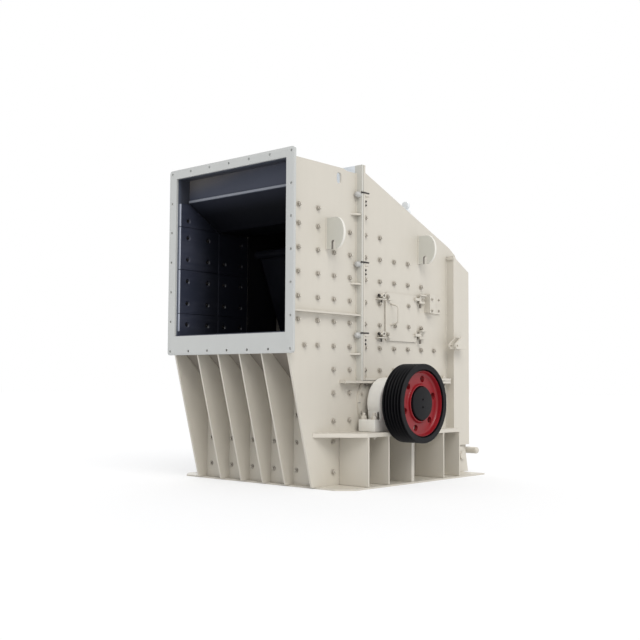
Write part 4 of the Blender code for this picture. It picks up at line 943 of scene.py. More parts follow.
class CRUSHER_OT_finishes(bpy.types.Operator):
    """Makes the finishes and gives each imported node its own"""

    bl_idname = "crusher.finishes"
    bl_label = "Finishes"

    def execute(self, context):
        paints = context.scene.crusher_paint
        paint_material("ivory_paint_look", paints.ivory, primer_colour, inner_faces)
        paint_material("split_flange_look", paints.split_flange, primer_colour, inner_faces)
        paint_material("rear_flange_look", paints.ivory, primer_colour, ring_faces)
        paint_material("rear_roof_look", paints.ivory, primer_colour, under_faces)
        # The sunk roof's pale top is pale paint and painted sky light
        paint_material("front_roof_look", paints.trough, primer_colour, under_faces)
        paint_material("rear_wall_look", paints.ivory, primer_colour, front_faces)
        # Painted highlight on the ears' outer edges and painted shade in their slots
        paint_material("ear_look", paints.ear, ear_edge_light_and_slot_shade, outward_faces)
        # Nuts: worn paint and painted shade on the sides, ivory ends
        paint_material("wall_nut_look", paints.nut, ivory_colour, flat_faces, rough=0.45)
        paint_material("front_nut_look", paints.worn_bolt_and_shade, ivory_colour, forward_faces, rough=0.45)
        # Painted shade on the feed floor's under side
        paint_material("feed_floor_look", paints.ivory, under_shade_colour, under_faces)
        paint_material("casting_look", paints.casting, rough=0.38)
        paint_material("boss_look", paints.boss, rough=0.34)
        paint_material("pale_bar_look", paints.trough, rough=0.38)
        paint_material("plain_ivory_look", paints.ivory)
        paint_material("flange_paint_look", paints.flange_grey, rough=0.40)
        paint_material("primer_look", paints.primer, rough=0.5)
        liner_material(paints)
        lintel_material(paints)
        metal_material("machined_steel_look", paints.steel, 0.32, 1.0)
        metal_material("bar_steel_look", paints.bar_steel, 0.5, 0.9)
        metal_material("dark_bolt_look", paints.bolt_steel, 0.38, 0.85)
        paint_material("worn_bolt_look", paints.worn_bolt_and_shade, rough=0.5)
        # Painted highlights on the wear plates' cut edges
        paint_material("liner_edge_highlight_look", paints.liner_edge_highlight, rough=0.45)
        paint_material("lintel_edge_highlight_look", tuple(0.5 * part for part in paints.liner_edge_highlight), rough=0.45)
        gloss_material("pulley_black_look", paints.pulley_black, 0.42, 0.16)
        gloss_material("web_red_look", paints.web_red, 0.36, 0.35, 0.12)
        looks = {
            "ivory_paint": "plain_ivory_look",
            "grey_ivory_paint": "flange_paint_look",
            "liner_steel": "wear_plate",
            "shaft_steel": "machined_steel_look",
            "black_paint": "pulley_black_look",
            "red_paint": "web_red_look",
        }
        own = {
            "roof_liner": "lintel_plate",
            "feed_floor": "feed_floor_look",
            "front_roof": "front_roof_look",
            "rear_roof": "rear_roof_look",
            "rear_wall": "rear_wall_look",
            "roof_cross_bar": "pale_bar_look",
            "split_flange_front": "split_flange_look",
            "split_flange_rear": "rear_flange_look",
        }
        for name in frame["nodes"]:
            if name.startswith(("side_plate", "rear_side_wall")):
                own[name] = "ivory_paint_look"
            elif name.startswith("lifting_ear"):
                own[name] = "ear_look"
            elif name.startswith("blow_bar"):
                own[name] = "bar_steel_look"
        for part in frame["record"]["subparts"]:
            node = frame["nodes"][part["node"]]
            finish = own.get(part["node"], looks[part["material_slot"]])
            node.data.materials.clear()
            node.data.materials.append(material(finish))
        return {"FINISHED"}


class CRUSHER_OT_edges(bpy.types.Operator):
    """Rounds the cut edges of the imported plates"""

    bl_idname = "crusher.edges"
    bl_label = "Plate edges"

    def execute(self, context):
        widths = {
            "bearing_shelf": 0.004,
            "lifting_ear": 0.004,
            "split_flange": 0.002,
            "cylinder_clevis": 0.003,
        }
        for name, node in frame["nodes"].items():
            for start, width in widths.items():
                if name.startswith(start):
                    weld = node.modifiers.new("merge", "WELD")
                    weld.merge_threshold = MERGE_DISTANCE
                    round_edges(node, width, 2, 40)
        return {"FINISHED"}


class CRUSHER_OT_wall_bolts(bpy.types.Operator):
    """Puts the liner bolts' nuts on the side walls, the front wall and the door"""

    bl_idname = "crusher.wall_bolts"
    bl_label = "Wall bolts"

    def execute(self, context):
        columns = column_places()
        fixed, tilting, front_bolts = [], [], []
        for sign in (1, -1):
            facing = Vector((sign, 0, 0))
            for height, front, rear in BOLT_ROWS:
                fixed += [(Vector((sign * OUTSIDE, columns[k], height)), facing) for k in front]
                tilting += [(Vector((sign * OUTSIDE, columns[k], height)), facing) for k in rear]
            fixed.append((Vector((sign * OUTSIDE, *LOW_FRONT_BOLT)), facing))
        for height in FRONT_ROWS:
            for x in FRONT_COLUMNS:
                front_bolts.append((Vector((x, FRONT_WALL_FACE, height)), Vector((0, -1, 0))))
        nut_piece("wall_bolts_housing", nuts(fixed, "wall_nut_look"), HOUSING)
        nut_piece("wall_bolts_rear", nuts(tilting, "wall_nut_look"), REAR)
        nut_piece("front_wall_bolts", nuts(front_bolts, "front_nut_look", 1.05), HOUSING)
        door = [(Vector((DOOR_FACE, y, z)), OUT) for y, z in DOOR_BOLTS]
        nut_piece("door_bolts", nuts(door, "wall_nut_look", 0.9), DOOR)
        return {"FINISHED"}


class CRUSHER_OT_inlet_flange(bpy.types.Operator):
    """Makes the inlet flange with its bolt holes and rounded edges"""

    bl_idname = "crusher.inlet_flange"
    bl_label = "Inlet flange"

    def execute(self, context):
        sizes = context.scene.crusher_inlet
        low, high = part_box("inlet_flange")
        outline = rounded((low.x, low.z), (high.x, high.z), sizes.corner)
        bottom, top = mouth_heights(low, high)
        mouth = [(-INSIDE, bottom), (INSIDE, bottom), (INSIDE, top), (-INSIDE, top)]
        flange = eased(plate("Y", low.y, high.y, outline, [mouth]), sizes.edge)
        past = 0.01   # how far the drills reach past the plate
        drills = [
            rod((x, low.y - past, z), (x, high.y + past, z), sizes.hole_radius, 16)
            for x, z in flange_holes(low, high, sizes)
        ]
        flange = cut(flange, merged(drills))
        piece("inlet_flange_plate", flange, "flange_paint_look", HOUSING,
              replaces=["inlet_flange"])
        return {"FINISHED"}


def mouth_heights(low, high):
    """Lower and upper edge of the opening in the inlet flange."""
    border = 0.05   # less than the flange is wide
    vertices = frame["nodes"]["inlet_flange"].data.vertices
    heights = sorted({round(v.co.z, 4) for v in vertices if abs(v.co.x) < INSIDE + 0.001})
    inner = [z for z in heights if low.z + border < z < high.z - border]
    return inner[0], inner[-1]


def flange_holes(low, high, sizes):
    """Places (x, z) of the bolt holes along the flange's four sides."""
    inset, count = sizes.hole_inset, sizes.holes_per_side
    left, right = low.x + inset, high.x - inset
    bottom, top = low.z + inset, high.z - inset
    holes = []
    for k in range(count):
        share = k / (count - 1)
        x, z = left + (right - left) * share, bottom + (top - bottom) * share
        holes += [(x, bottom), (x, top)]
        if 0 < k < count - 1:
            holes += [(left, z), (right, z)]
    return holes


class CRUSHER_OT_inlet_liners(bpy.types.Operator):
    """Cuts the countersinks of the side liners, and adds their bolts and the plates' cut edges"""

    bl_idname = "crusher.inlet_liners"
    bl_label = "Inlet liners"

    def execute(self, context):
        sizes = context.scene.crusher_inlet
        for side, sign in {"right": 1, "left": -1}.items():
            node = frame["nodes"]["side_liner_" + side]
            low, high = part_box(node.name)
            face = high.x if sign < 0 else low.x
            places = liner_bolt_places(low, high)
            cones = [countersink(sizes, sign, (face, y, z)) for y, z in places]
            sheet = cut(welded(node.data.copy()), merged(cones))
            piece("side_liner_plates_" + side, sheet, "wear_plate", HOUSING, smooth=None,
                  replaces=[node.name])
            floor = face + sign * (sizes.countersink_depth - FIT)
            heads = [(Vector((floor, y, z)), Vector((-sign, 0, 0))) for y, z in places]
            liner_bolts = nuts(heads, "dark_bolt_look", 0.55, 0.45)
            nut_piece("side_liner_bolts_" + side, liner_bolts, HOUSING)
        # Painted highlights: light bars on the cut edges of the wear plates
        piece("lintel_edge", lintel_edge(), "lintel_edge_highlight_look", HOUSING)
        cut_edges = merged(both_sides(liner_strips()))
        piece("liner_cut_edges", cut_edges, "liner_edge_highlight_look", HOUSING)
        return {"FINISHED"}


def liner_bolt_places(low, high):
    """Places (y, z) of the wall bolts that pass through a side liner."""
    columns = column_places()
    places = []
    for height, front, _rear in BOLT_ROWS:
        for k in front:
            y = columns[k]
            floor = FLOOR_LINER_END + (FLOOR_REAR - y) * FLOOR_SLOPE
            over_floor = height > max(low.z, floor) + 0.03
            under_roof = height < high.z - 0.05 and roof_height(y) > height + 0.05
            if k < INLET_COLUMNS and over_floor and under_roof:
                places.append((y, height))
    return places


def roof_height(y):
    """Upper edge of the side liners over a place on Y."""
    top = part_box("side_liner_right")[1].z
    return min(top, max(LINTEL_TOP - (y - LINTEL_REAR) * ROOF_SLOPE, ROOF_FLAT) - 0.042)


def countersink(sizes, sign, place):
    """The cone that one bolt's countersink takes out of a side liner."""
    proud, depth = 0.004, sizes.countersink_depth
    cone = turned([(-proud, 0), (-proud, sizes.countersink + proud), (depth, sizes.head_radius), (depth, 0)],
                  (0, 0, 0), "X", 24)
    if sign < 0:
        cone = mirrored(cone)
    cone.transform(Matrix.Translation(place))
    return cone


def liner_strips():
    """The right side liners' cut edges, one strip between two seams, coloured light as a painted highlight."""
    low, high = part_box("side_liner_right")
    seams = [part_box("floor_liner")[1].z + 0.04, *LINER_SEAMS, high.z]
    strips = []
    for bottom, top in zip(seams, seams[1:]):
        start = (low.x + 0.001, low.y - LINER_STRIP, bottom + LINER_STRIP)
        strips.append(eased(block(start, (INSIDE - FIT, low.y - FIT, top - LINER_STRIP)), 0.001))
    return strips


def lintel_edge():
    """A bar along the lower edge of the roof's wear plate, coloured light as a painted highlight on that edge."""
    low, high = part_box("roof_liner")
    lip = min(v.co.z for v in frame["nodes"]["roof_liner"].data.vertices if v.co.y < low.y + 0.002)
    inset, reach, bottom, top = 0.004, 0.014, lip + 0.002, lip + 0.026
    return eased(block((low.x + inset, low.y - reach, bottom), (high.x - inset, low.y - FIT, top)), 0.004, 3)


class CRUSHER_OT_clamps(bpy.types.Operator):
    """Puts the swing bolts that hold the rear housing shut on the split flanges"""

    bl_idname = "crusher.clamps"
    bl_label = "Housing clamps"

    def execute(self, context):
        sizes = context.scene.crusher_clamps
        bosses = [clamp_boss(height, sizes) for height in sizes.heights]
        rods = [clamp_rod(height, sizes) for height in sizes.heights]
        lugs = [clamp_lug(height) for height in sizes.heights]
        pins = [
            (Vector((OUTSIDE, FLANGE_REAR + 0.092, height - drop)), OUT)
            for height in sizes.heights for drop in PIN_DROPS
        ]
        piece("clamp_bosses", merged(both_sides(bosses)), "boss_look", HOUSING, smooth=50)
        piece("clamp_lugs", merged(both_sides(lugs)), "plain_ivory_look", REAR)
        piece("clamp_rods", merged(both_sides(rods)), "dark_bolt_look", REAR, smooth=25)
        small = both_sides([nuts(pins, "dark_bolt_look", 0.42, 0.6)])
        piece("clamp_pins", merged(small), "dark_bolt_look", REAR, smooth=25)
        return {"FINISHED"}


def clamp_boss(height, sizes):
    """The round boss before the front flange, with a domed nose."""
    radius, reach, flat = sizes.boss_radius, sizes.boss_length, sizes.boss_flat
    tip, seat = FLANGE_FRONT - reach, FLANGE_FRONT - FIT
    nose = [(tip + reach * (1 - math.cos(a)), flat + (radius - flat) * math.sin(a)) for a in quarter(6)]
    x = FLANGE_EDGE - radius - sizes.boss_inset
    return turned([(tip, 0), *nose, (seat, radius), (seat, 0)], (x, 0, height), "Y", 28)


def clamp_rod(height, sizes):
    """The swing bolt that lies along the flanges' outer edges."""
    x, z = FLANGE_EDGE + 0.002, height + sizes.rod_rise
    start, end = (x, FLANGE_FRONT - 0.012, z), (x, FLANGE_REAR + sizes.rod_length, z)
    return rod(start, end, sizes.rod_radius, 12, 0.002)


def clamp_lug(height):
    """The flat lug behind the rear flange, under the rod."""
    start = (OUTSIDE + FIT, FLANGE_REAR + FIT, height - 0.012)
    return eased(block(start, (FLANGE_EDGE + 0.006, FLANGE_REAR + 0.062, height + 0.002)), 0.003)


class CRUSHER_OT_pulley(bpy.types.Operator):
    """Makes the drive pulley with its grooved rim, red web and bush"""

    bl_idname = "crusher.pulley"
    bl_label = "Pulley"

    def execute(self, context):
        sizes = context.scene.crusher_pulley
        low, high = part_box("pulley")
        front, back, outer = high.x, low.x, (high.z - low.z) / 2
        centre = (0, AXIS.y, AXIS.z)
        rim = turned(rim_profile(front, back, outer, sizes), centre, steps=120)
        piece("pulley_rim", rim, "pulley_black_look", ROTOR, replaces=["pulley"])
        disc = turned(web_profile(front, sizes), centre, steps=96)
        web_front = front - sizes.web_depth
        past = 0.05   # how far the drills reach past the web
        holes = []
        for k in range(sizes.web_holes):
            turn = sizes.first_hole + math.tau * k / sizes.web_holes
            y = AXIS.y + sizes.hole_circle * math.cos(turn)
            z = AXIS.z + sizes.hole_circle * math.sin(turn)
            start, end = (web_front - WEB_THICKNESS - past, y, z), (web_front + past, y, z)
            holes.append(rod(start, end, sizes.hole_radius, 24))
        piece("pulley_disc", cut(disc, merged(holes)), "web_red_look", ROTOR,
              replaces=["pulley_web"])
        low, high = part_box("pulley_hub")
        radius, edge = (high.z - low.z) / 2 - 0.001, 0.010
        profile = [(low.x + FIT, 0), (low.x + FIT, radius), (high.x - edge, radius)]
        profile += [*rounded_end(high.x, radius, edge, 4), (high.x, 0)]
        bush = turned(profile, centre, steps=72)
        jacks = []
        for side in (-1, 1):
            z = AXIS.z + side * sizes.jack_circle
            jacks.append(rod((high.x - 0.02, AXIS.y, z), (high.x + 0.01, AXIS.y, z), sizes.jack_radius, 16))
        piece("pulley_bush", cut(bush, merged(jacks)), "pulley_black_look", ROTOR,
              replaces=["pulley_hub"])
        return {"FINISHED"}


def rounded_end(face, radius, edge, steps):
    """Section points from a round body's side to its end face, over a rounded edge."""
    return [(face - edge + edge * math.sin(a), radius - edge * (1 - math.cos(a))) for a in quarter(steps)]


def rim_profile(front, back, outer, sizes):
    """The grooved rim's section as (x, radius), with its edges rounded."""
    edge, lip = 0.004, 0.002
    # half of a groove's width at its top, under its lip and at its bottom
    mouth, shoulder, floor = 0.0155, 0.0135, 0.006
    points = [(front, sizes.rim_inside), (front, outer - edge), (front - edge, outer)]
    middle = (front + back) / 2
    for k in range(sizes.grooves):
        x = middle + ((sizes.grooves - 1) / 2 - k) * sizes.groove_pitch
        points += [
            (x + mouth, outer),
            (x + shoulder, outer - lip),
            (x + floor, outer - sizes.groove_depth),
            (x - floor, outer - sizes.groove_depth),
            (x - shoulder, outer - lip),
            (x - mouth, outer),
        ]
    points += [(back + edge, outer), (back, outer - edge), (back, sizes.rim_inside)]
    web_front, inside = front - sizes.web_depth, sizes.rim_inside - RIM_STEP
    points += [(web_front - WEB_THICKNESS, inside), (web_front - 0.005, inside)]
    return list(reversed(points))


def web_profile(front, sizes):
    """The web's section: a lip in the rim, a hollow corner, the flat, a ring round the bush, and the bore."""
    face = front - sizes.web_depth
    back = face - WEB_THICKNESS
    inside = sizes.rim_inside - RIM_STEP
    lip = [(front - 0.014, inside - FIT), (front - 0.014, inside - 0.004)]
    hollow = [
        (face + 0.030 - 0.030 * math.sin(a), inside - 0.010 - 0.026 * (1 - math.cos(a))) for a in quarter(7)
    ]
    rise = [(face + 0.016 * (1 - math.cos(a)), 0.204 - 0.020 * math.sin(a)) for a in quarter(6)]
    ring = [(face + 0.026, 0.180), (face + 0.028, 0.172), (face + 0.024, 0.1665), (face, 0.165)]
    bore = [(face, SHAFT_BORE), (back, SHAFT_BORE), (back, inside - FIT)]
    return list(reversed(lip + hollow + rise + ring + bore))


class CRUSHER_OT_bearings(bpy.types.Operator):
    """Makes the shaft bearing housings with their feet, covers and anchor bolts"""

    bl_idname = "crusher.bearings"
    bl_label = "Bearings"

    def execute(self, context):
        sizes = context.scene.crusher_bearings
        low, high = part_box("bearing_housing_right")
        radius, edge = high.z - AXIS.z, sizes.barrel_edge
        foot_top = low.z + sizes.foot_height
        inner, outer = low.x + sizes.shoulder, high.x - sizes.cover
        barrel = [(inner, sizes.bore)]
        barrel += [(inner + edge * (1 - math.cos(a)), radius - edge + edge * math.sin(a)) for a in quarter(5)]
        barrel += rounded_end(outer, radius, edge, 5)
        barrel += [
            (outer, sizes.cover_radius),
            (high.x - 0.002, sizes.cover_radius - 0.004),
            (high.x, sizes.cover_radius - 0.012),
            (high.x, sizes.bore),
        ]
        body = turned(barrel, (0, AXIS.y, AXIS.z), steps=80)
        foot = block((sizes.foot_inner, low.y, low.z), (outer + sizes.foot_lip, high.y, foot_top))
        foot = eased(foot, 0.007, 3)
        cheeks = plate("X", inner + 0.002, outer - 0.002, [
            (AXIS.y - sizes.neck, foot_top - 0.02),
            (AXIS.y + sizes.neck, foot_top - 0.02),
            (AXIS.y + radius - 0.004, AXIS.z),
            (AXIS.y - radius + 0.004, AXIS.z),
        ])
        meshes = [body, foot, eased(cheeks, 0.014, 3)]
        anchor_x = (sizes.foot_inner + sizes.anchor_inset, outer - sizes.anchor_inset)
        shelf_bottom = low.z - 0.030
        anchors, studs, under = [], [], []
        for sign in (-1, 1):
            y = AXIS.y + sign * sizes.anchor_reach
            anchors += [(Vector((x, y, foot_top)), UP) for x in anchor_x]
            under += [(Vector((x, y, shelf_bottom)), Vector((0, 0, -1))) for x in anchor_x]
            stud_x, stud_y = outer - 0.010, y - sign * 0.030
            stud_top = (stud_x, stud_y, foot_top + 0.075)
            studs.append(rod((stud_x, stud_y, foot_top), stud_top, 0.007, 12, 0.002))
        covers = []
        for k in range(COVER_BOLTS):
            turn = math.radians(360 * (k + 0.5) / COVER_BOLTS)
            y = AXIS.y + sizes.cover_circle * math.cos(turn)
            covers.append((Vector((high.x, y, AXIS.z + sizes.cover_circle * math.sin(turn))), OUT))
        piece("bearing_bodies", merged(both_sides(meshes)), "casting_look", HOUSING,
              replaces=["bearing_housing_right", "bearing_housing_left"])
        bolts = both_sides([
            nuts(anchors, "plain_ivory_look", 1.30, 1.3),
            nuts(covers, "plain_ivory_look", 0.55),
        ])
        piece("bearing_bolts", merged(bolts), "plain_ivory_look", HOUSING, smooth=25)
        piece("bearing_studs", merged(both_sides(studs)), "dark_bolt_look", HOUSING)
        lower = both_sides([nuts(under, "plain_ivory_look", 1.1)])
        piece("bearing_lower_nuts", merged(lower), "plain_ivory_look", HOUSING, smooth=25)
        return {"FINISHED"}


class CRUSHER_OT_seals(bpy.types.Operator):
    """Adds the bolts and the seam of the split seal plates round the shaft"""

    bl_idname = "crusher.seals"
    bl_label = "Shaft seals"

    def execute(self, context):
        low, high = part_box("shaft_seal_right")
        radius = high.y - AXIS.y
        circle_radius = radius - 0.03
        bolts = []
        for degrees in SEAL_BOLTS:
            turn = math.radians(degrees)
            y, z = AXIS.y + circle_radius * math.cos(turn), AXIS.z + circle_radius * math.sin(turn)
            if low.z + 0.03 < z < high.z - 0.02:
                bolts.append((Vector((high.x, y, z)), OUT))
        half = 0.0025   # of the seam's width
        seams = []
        for sign in (-1, 1):
            front, rear = sorted((AXIS.y + sign * 0.27, AXIS.y + sign * (radius + 0.006)))
            start = (high.x - 0.004, front, AXIS.z - half)
            seams.append(block(start, (high.x + 0.0015, rear, AXIS.z + half)))
        bolts = merged(both_sides([nuts(bolts, "wall_nut_look", 0.65)]))
        piece("seal_bolts", bolts, "wall_nut_look", HOUSING, smooth=25)
        piece("seal_seams", merged(both_sides(seams)), "primer_look", HOUSING)
        return {"FINISHED"}


class CRUSHER_OT_door(bpy.types.Operator):
    """Adds the door's latches and keepers"""

    bl_idname = "crusher.door"
    bl_label = "Door latches"

    def execute(self, context):
        y, swing_x = LATCH_NUT_Y, OUTSIDE + 0.030
        pin_x, pin_y = OUTSIDE + 0.020, y - 0.015
        lugs, keepers, dark, light, held = [], [], [], [], []
        for z, drop in LATCHES:
            lug_z = z + drop
            lug = block((OUTSIDE + FIT, 0.800, lug_z - 0.006), (OUTSIDE + 0.050, 0.925, lug_z + 0.006))
            lugs.append(eased(lug, 0.003))
            lugs.append(rod((OUTSIDE + FIT, y, z), (OUTSIDE + 0.022, y, z), 0.030, 20, 0.003))
            keeper = block((DOOR_FACE + FIT, 0.962, lug_z - 0.005), (DOOR_FACE + 0.034, 1.012, lug_z + 0.005))
            keepers.append(eased(keeper, 0.002))
            light.append(rod((swing_x, 0.832, z), (swing_x, 0.862, z), 0.012, 12, 0.002))
            light.append(hex_ring((OUTSIDE + 0.0224, y, z), 0.030, 0.0138, 0.026))
            dark.append(rod((swing_x, 0.812, z), (swing_x, 0.832 - FIT, z), 0.017, 6, 0.002))
            dark.append(rod((OUTSIDE + 0.0225, y, z), (OUTSIDE + 0.040, y, z), 0.0135, 14, 0.002))
            dark.append(rod((pin_x, pin_y, lug_z - 0.040), (pin_x, pin_y, lug_z + 0.020), 0.008, 12, 0.002))
            held.append((Vector((DOOR_FACE, 0.975, z)), OUT))
        piece("latch_lugs", merged(lugs + light), "plain_ivory_look", REAR, smooth=30)
        piece("latch_bolts", merged(dark), "dark_bolt_look", REAR, smooth=25)
        piece("latch_keepers", merged(keepers), "plain_ivory_look", DOOR)
        nut_piece("latch_nuts", nuts(held, "wall_nut_look", 0.9), DOOR)
        return {"FINISHED"}


def hex_ring(place, radius, hole, thickness):
    """A tall six-sided nut on the wall, open round its bolt."""
    outline = circle(place[1:], radius, 6)
    return eased(plate("X", place[0], place[0] + thickness, outline, [circle(place[1:], hole, 16)]), 0.002)


class CRUSHER_OT_hinges(bpy.types.Operator):
    """Adds the bolts of the door's switch, and the leaves and pins of the door's hinges"""

    bl_idname = "crusher.hinges"
    bl_label = "Door hinges and switch"

    def execute(self, context):
        low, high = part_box("door_switch_box")
        heights = (low.z + 0.028, high.z - 0.056)
        bolts = [(Vector((high.x, y, z)), OUT) for y in SWITCH_BOLTS_Y for z in heights]
        nut_piece("switch_bolts", nuts(bolts, "wall_nut_look", 0.55), REAR)
        x, y, _z = joint_place(DOOR)
        leaves, pins = [], []
        for name in ("door_hinge_upper", "door_hinge_lower"):
            low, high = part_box(name)
            top = high.z - 0.006
            leaf = block((x - 0.012, low.y - 0.006, top + FIT), (x + 0.030, high.y, top + 0.013))
            leaves.append(eased(leaf, 0.003))
            pins.append(rod((x, y, low.z - 0.045), (x, y, low.z - FIT), 0.009, 12, 0.002))
            for step in range(3):
                z = low.z - 0.010 - 0.014 * step
                pins.append(rod((x, y, z), (x, y, z - 0.008), 0.0145, 6, 0.001))
        piece("hinge_leaves", merged(leaves), "plain_ivory_look", REAR)
        piece("hinge_pins", merged(pins), "worn_bolt_look", REAR, smooth=25)
        return {"FINISHED"}


class CRUSHER_OT_flange_bolts(bpy.types.Operator):
    """Adds the bolts of the flange between the lower and the rear housing"""

    bl_idname = "crusher.flange_bolts"
    bl_label = "Joint flange bolts"

    def execute(self, context):
        x = OUTSIDE + JOINT_REACH
        places = [(sign * x, y) for y in JOINT_BOLTS_Y for sign in (1, -1)]
        upper = [(Vector((*place, JOINT_TOP)), UP) for place in places]
        lower = [(Vector((*place, JOINT_BOTTOM)), Vector((0, 0, -1))) for place in places]
        nut_piece("joint_bolts_upper", nuts(upper, "plain_ivory_look", 0.85), REAR)
        nut_piece("joint_bolts_lower", nuts(lower, "worn_bolt_look", 0.85), HOUSING)
        return {"FINISHED"}


class CRUSHER_OT_rear_bar(bpy.types.Operator):
    """Adds the domed ends of the rear cross bar, and the columns' caps"""

    bl_idname = "crusher.rear_bar"
    bl_label = "Rear bar and columns"

    def execute(self, context):
        low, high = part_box("rear_cross_bar")
        radius, reach = (high.z - low.z) / 2, 0.030
        dome = [(high.x + FIT, 0), (high.x + FIT, radius)]
        dome += [(high.x + 0.002 + reach * math.sin(a), radius * math.cos(a)) for a in quarter(6)]
        dome = turned(dome, (0, (low.y + high.y) / 2, (low.z + high.z) / 2))
        piece("rear_bar_ends", merged(both_sides([dome])), "plain_ivory_look", REAR, smooth=50)
        low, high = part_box("rear_column_right")
        start = (low.x + 0.002, low.y - 0.012, high.z - 0.045)
        cap = eased(block(start, (high.x + 0.010, low.y - FIT, high.z - 0.012)), 0.004)
        piece("column_caps", merged(both_sides([cap])), "plain_ivory_look", REAR)
        return {"FINISHED"}


class CRUSHER_OT_welds(bpy.types.Operator):
    """Lays the weld beads along the plates' joints"""

    bl_idname = "crusher.welds"
    bl_label = "Weld beads"

    def execute(self, context):
        sizes = context.scene.crusher_welds
        off = sizes.fillet
        fixed, tilting = [], []
        for sign in (1, -1):
            x = sign * (OUTSIDE + off)
            fixed.append(upright(x, INLET_BACK + off, *INLET_WELD))
            for name, paths in (("lifting_ear_front_right", fixed), ("lifting_ear_rear_right", tilting)):
                low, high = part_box(name)
                paths.append(upright(x, low.y - off, low.z, high.z))
                paths.append(upright(x, high.y + off, low.z, high.z))
            low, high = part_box("bearing_shelf_right")
            fixed.append(level(x, low.y, high.y, high.z + off))
            low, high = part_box("rear_column_right")
            tilting.append(upright(x, low.y - off, low.z + 0.05, high.z - 0.02))
            for z in (SIDE_RIB - RIB_HALF, SIDE_RIB + RIB_HALF):
                fixed.append(level(x, INLET_BACK + 0.01, FLANGE_FRONT - 0.004, z))
            fixed.append(upright(x, FLANGE_FRONT - off, *SPLIT_WELD))
        for name, paths, body in (("weld_beads_housing", fixed, HOUSING), ("weld_beads_rear", tilting, REAR)):
            piece(name, beads(paths, "plain_ivory_look", sizes), None, body, smooth=60)
        return {"FINISHED"}


def upright(x, y, bottom, top):
    return [(x, y, bottom), (x, y, top)]


def level(x, front, rear, z):
    return [(x, front, z), (x, rear, z)]


class CRUSHER_OT_roof_strip(bpy.types.Operator):
    """Closes the joint between the sloped roof and the rear wall"""

    bl_idname = "crusher.roof_strip"
    bl_label = "Roof strip"

    def execute(self, context):
        low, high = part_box("rear_wall")
        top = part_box("rear_roof")[0].z + 0.012
        strip = block((low.x, low.y, high.z), (high.x, high.y - 0.0005, top))
        piece("rear_roof_strip", strip, "rear_wall_look", REAR)
        return {"FINISHED"}


class CRUSHER_OT_stage(bpy.types.Operator):
    """Sets up the floor, the lamps and the camera"""

    bl_idname = "crusher.stage"
    bl_label = "Stage"

    def execute(self, context):
        sizes = context.scene.crusher_stage
        work = bmesh.new()
        bmesh.ops.create_grid(work, x_segments=1, y_segments=1, size=60)
        floor = link(bpy.data.objects.new("floor", mesh_from(work, "floor")))
        floor.location.z = -0.0005   # just under the base, so that the two faces don't meet
        floor_material(sizes.floor)
        floor.data.materials.append(material("floor_look"))
        lamp("key_lamp", sizes.key, sizes.key_tint, (0.64, -0.34, 0.72), sizes.key_softness)
        lamp("back_lamp", sizes.back, (1.0, 1.0, 1.0), (-0.62, 0.50, 0.60), sizes.back_softness)
        context.scene.world = bpy.data.worlds.new("sky")
        world_light(context.scene.world, sizes.ambient)
        data = bpy.data.cameras.new("camera")
        data.lens = sizes.lens
        data.sensor_width = sizes.sensor
        camera = link(bpy.data.objects.new("camera", data))
        heading = Matrix.Rotation(sizes.heading, 4, "Z")
        tilt = Matrix.Rotation(math.pi / 2 + sizes.pitch, 4, "X")
        roll = Matrix.Rotation(sizes.roll, 4, "Z")
        camera.matrix_world = Matrix.Translation(sizes.camera) @ heading @ tilt @ roll
        context.scene.camera = camera
        context.scene.view_settings.view_transform = "Standard"
        return {"FINISHED"}


def lamp(name, strength, colour, direction, softness):
    """A soft lamp far off in a direction from the machine."""
    data = bpy.data.lights.new(name, "SUN")
    data.energy = strength
    data.color = colour
    data.angle = softness
    thing = link(bpy.data.objects.new(name, data))
    thing.rotation_euler = Vector(direction).to_track_quat("Z", "Y").to_euler()
    thing.location = Vector(direction) * 12


def seen_directly(tree):
    """1 for rays that come straight from the camera, or by a mirror or glass."""
    node = tree.nodes.new("ShaderNodeLightPath")
    straight, mirror, glass = [
        Signal(tree, node.outputs[label])
        for label in ("Is Camera Ray", "Is Glossy Ray", "Is Transmission Ray")
    ]
    return add(tree, "ShaderNodeClamp", sockets={"Value": straight + mirror + glass})


def world_light(world, ambient):
    """A slightly cool sky, which the camera sees as white."""
    world.use_nodes = True
    tree = world.node_tree
    tree.nodes.clear()
    cool = tuple(ambient * part for part in (0.97, 0.99, 1.03))
    sky = mix_colour(tree, seen_directly(tree), cool, (1.0, 1.0, 1.0))
    shine = add(tree, "ShaderNodeBackground", sockets={"Color": sky, "Strength": 1.0})
    output = tree.nodes.new("ShaderNodeOutputWorld")
    tree.links.new(shine.socket, output.inputs["Surface"])


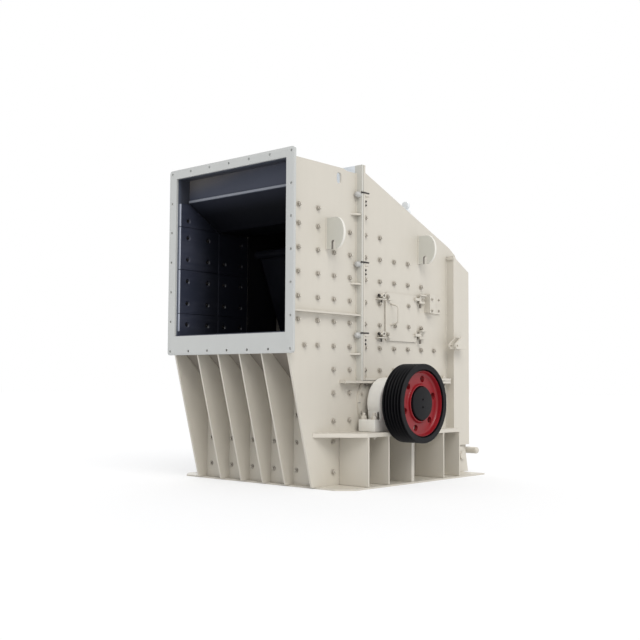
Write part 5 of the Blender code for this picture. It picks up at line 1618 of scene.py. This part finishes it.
def floor_material(colour):
    """A pale floor that reads white to the camera and keeps the machine's shadow."""
    tree, shader = new_material("floor_look")
    tree.nodes.remove(shader)
    matt = add(tree, "ShaderNodeBsdfDiffuse", sockets={"Color": (*colour, 1.0)})
    glow = add(tree, "ShaderNodeEmission", sockets={"Color": (1, 1, 1, 1), "Strength": 1.0})
    share = seen_directly(tree) * 0.6
    both = add(tree, "ShaderNodeMixShader", sockets={0: share, 1: matt, 2: glow})
    tree.links.new(both.socket, tree.nodes["Material Output"].inputs["Surface"])


OPERATORS = (
    CRUSHER_OT_finishes,
    CRUSHER_OT_edges,
    CRUSHER_OT_inlet_flange,
    CRUSHER_OT_inlet_liners,
    CRUSHER_OT_wall_bolts,
    CRUSHER_OT_clamps,
    CRUSHER_OT_pulley,
    CRUSHER_OT_bearings,
    CRUSHER_OT_seals,
    CRUSHER_OT_door,
    CRUSHER_OT_hinges,
    CRUSHER_OT_flange_bolts,
    CRUSHER_OT_rear_bar,
    CRUSHER_OT_welds,
    CRUSHER_OT_roof_strip,
    CRUSHER_OT_stage,
)


class CRUSHER_PT_panel(bpy.types.Panel):
    """Lists the steps that dress the machine"""

    bl_idname = "CRUSHER_PT_panel"
    bl_label = "Impact crusher"
    bl_space_type = "VIEW_3D"
    bl_region_type = "UI"
    bl_category = "Crusher"

    def draw(self, context):
        for step in OPERATORS:
            self.layout.operator(step.bl_idname)


SETTINGS = {
    "crusher_paint": PaintSettings,
    "crusher_bolts": BoltSettings,
    "crusher_inlet": InletSettings,
    "crusher_clamps": ClampSettings,
    "crusher_pulley": PulleySettings,
    "crusher_bearings": BearingSettings,
    "crusher_welds": WeldSettings,
    "crusher_stage": StageSettings,
}


def register():
    for name, group in SETTINGS.items():
        bpy.utils.register_class(group)
        setattr(bpy.types.Scene, name, PointerProperty(type=group))
    for step in OPERATORS:
        bpy.utils.register_class(step)
    bpy.utils.register_class(CRUSHER_PT_panel)


def unregister():
    bpy.utils.unregister_class(CRUSHER_PT_panel)
    for step in reversed(OPERATORS):
        bpy.utils.unregister_class(step)
    for name, group in SETTINGS.items():
        delattr(bpy.types.Scene, name)
        bpy.utils.unregister_class(group)


def main():
    register()
    nut_tree()
    bead_tree()
    for step in OPERATORS:
        group, name = step.bl_idname.split(".")
        getattr(getattr(bpy.ops, group), name)()


if __name__ == "__main__":
    main()
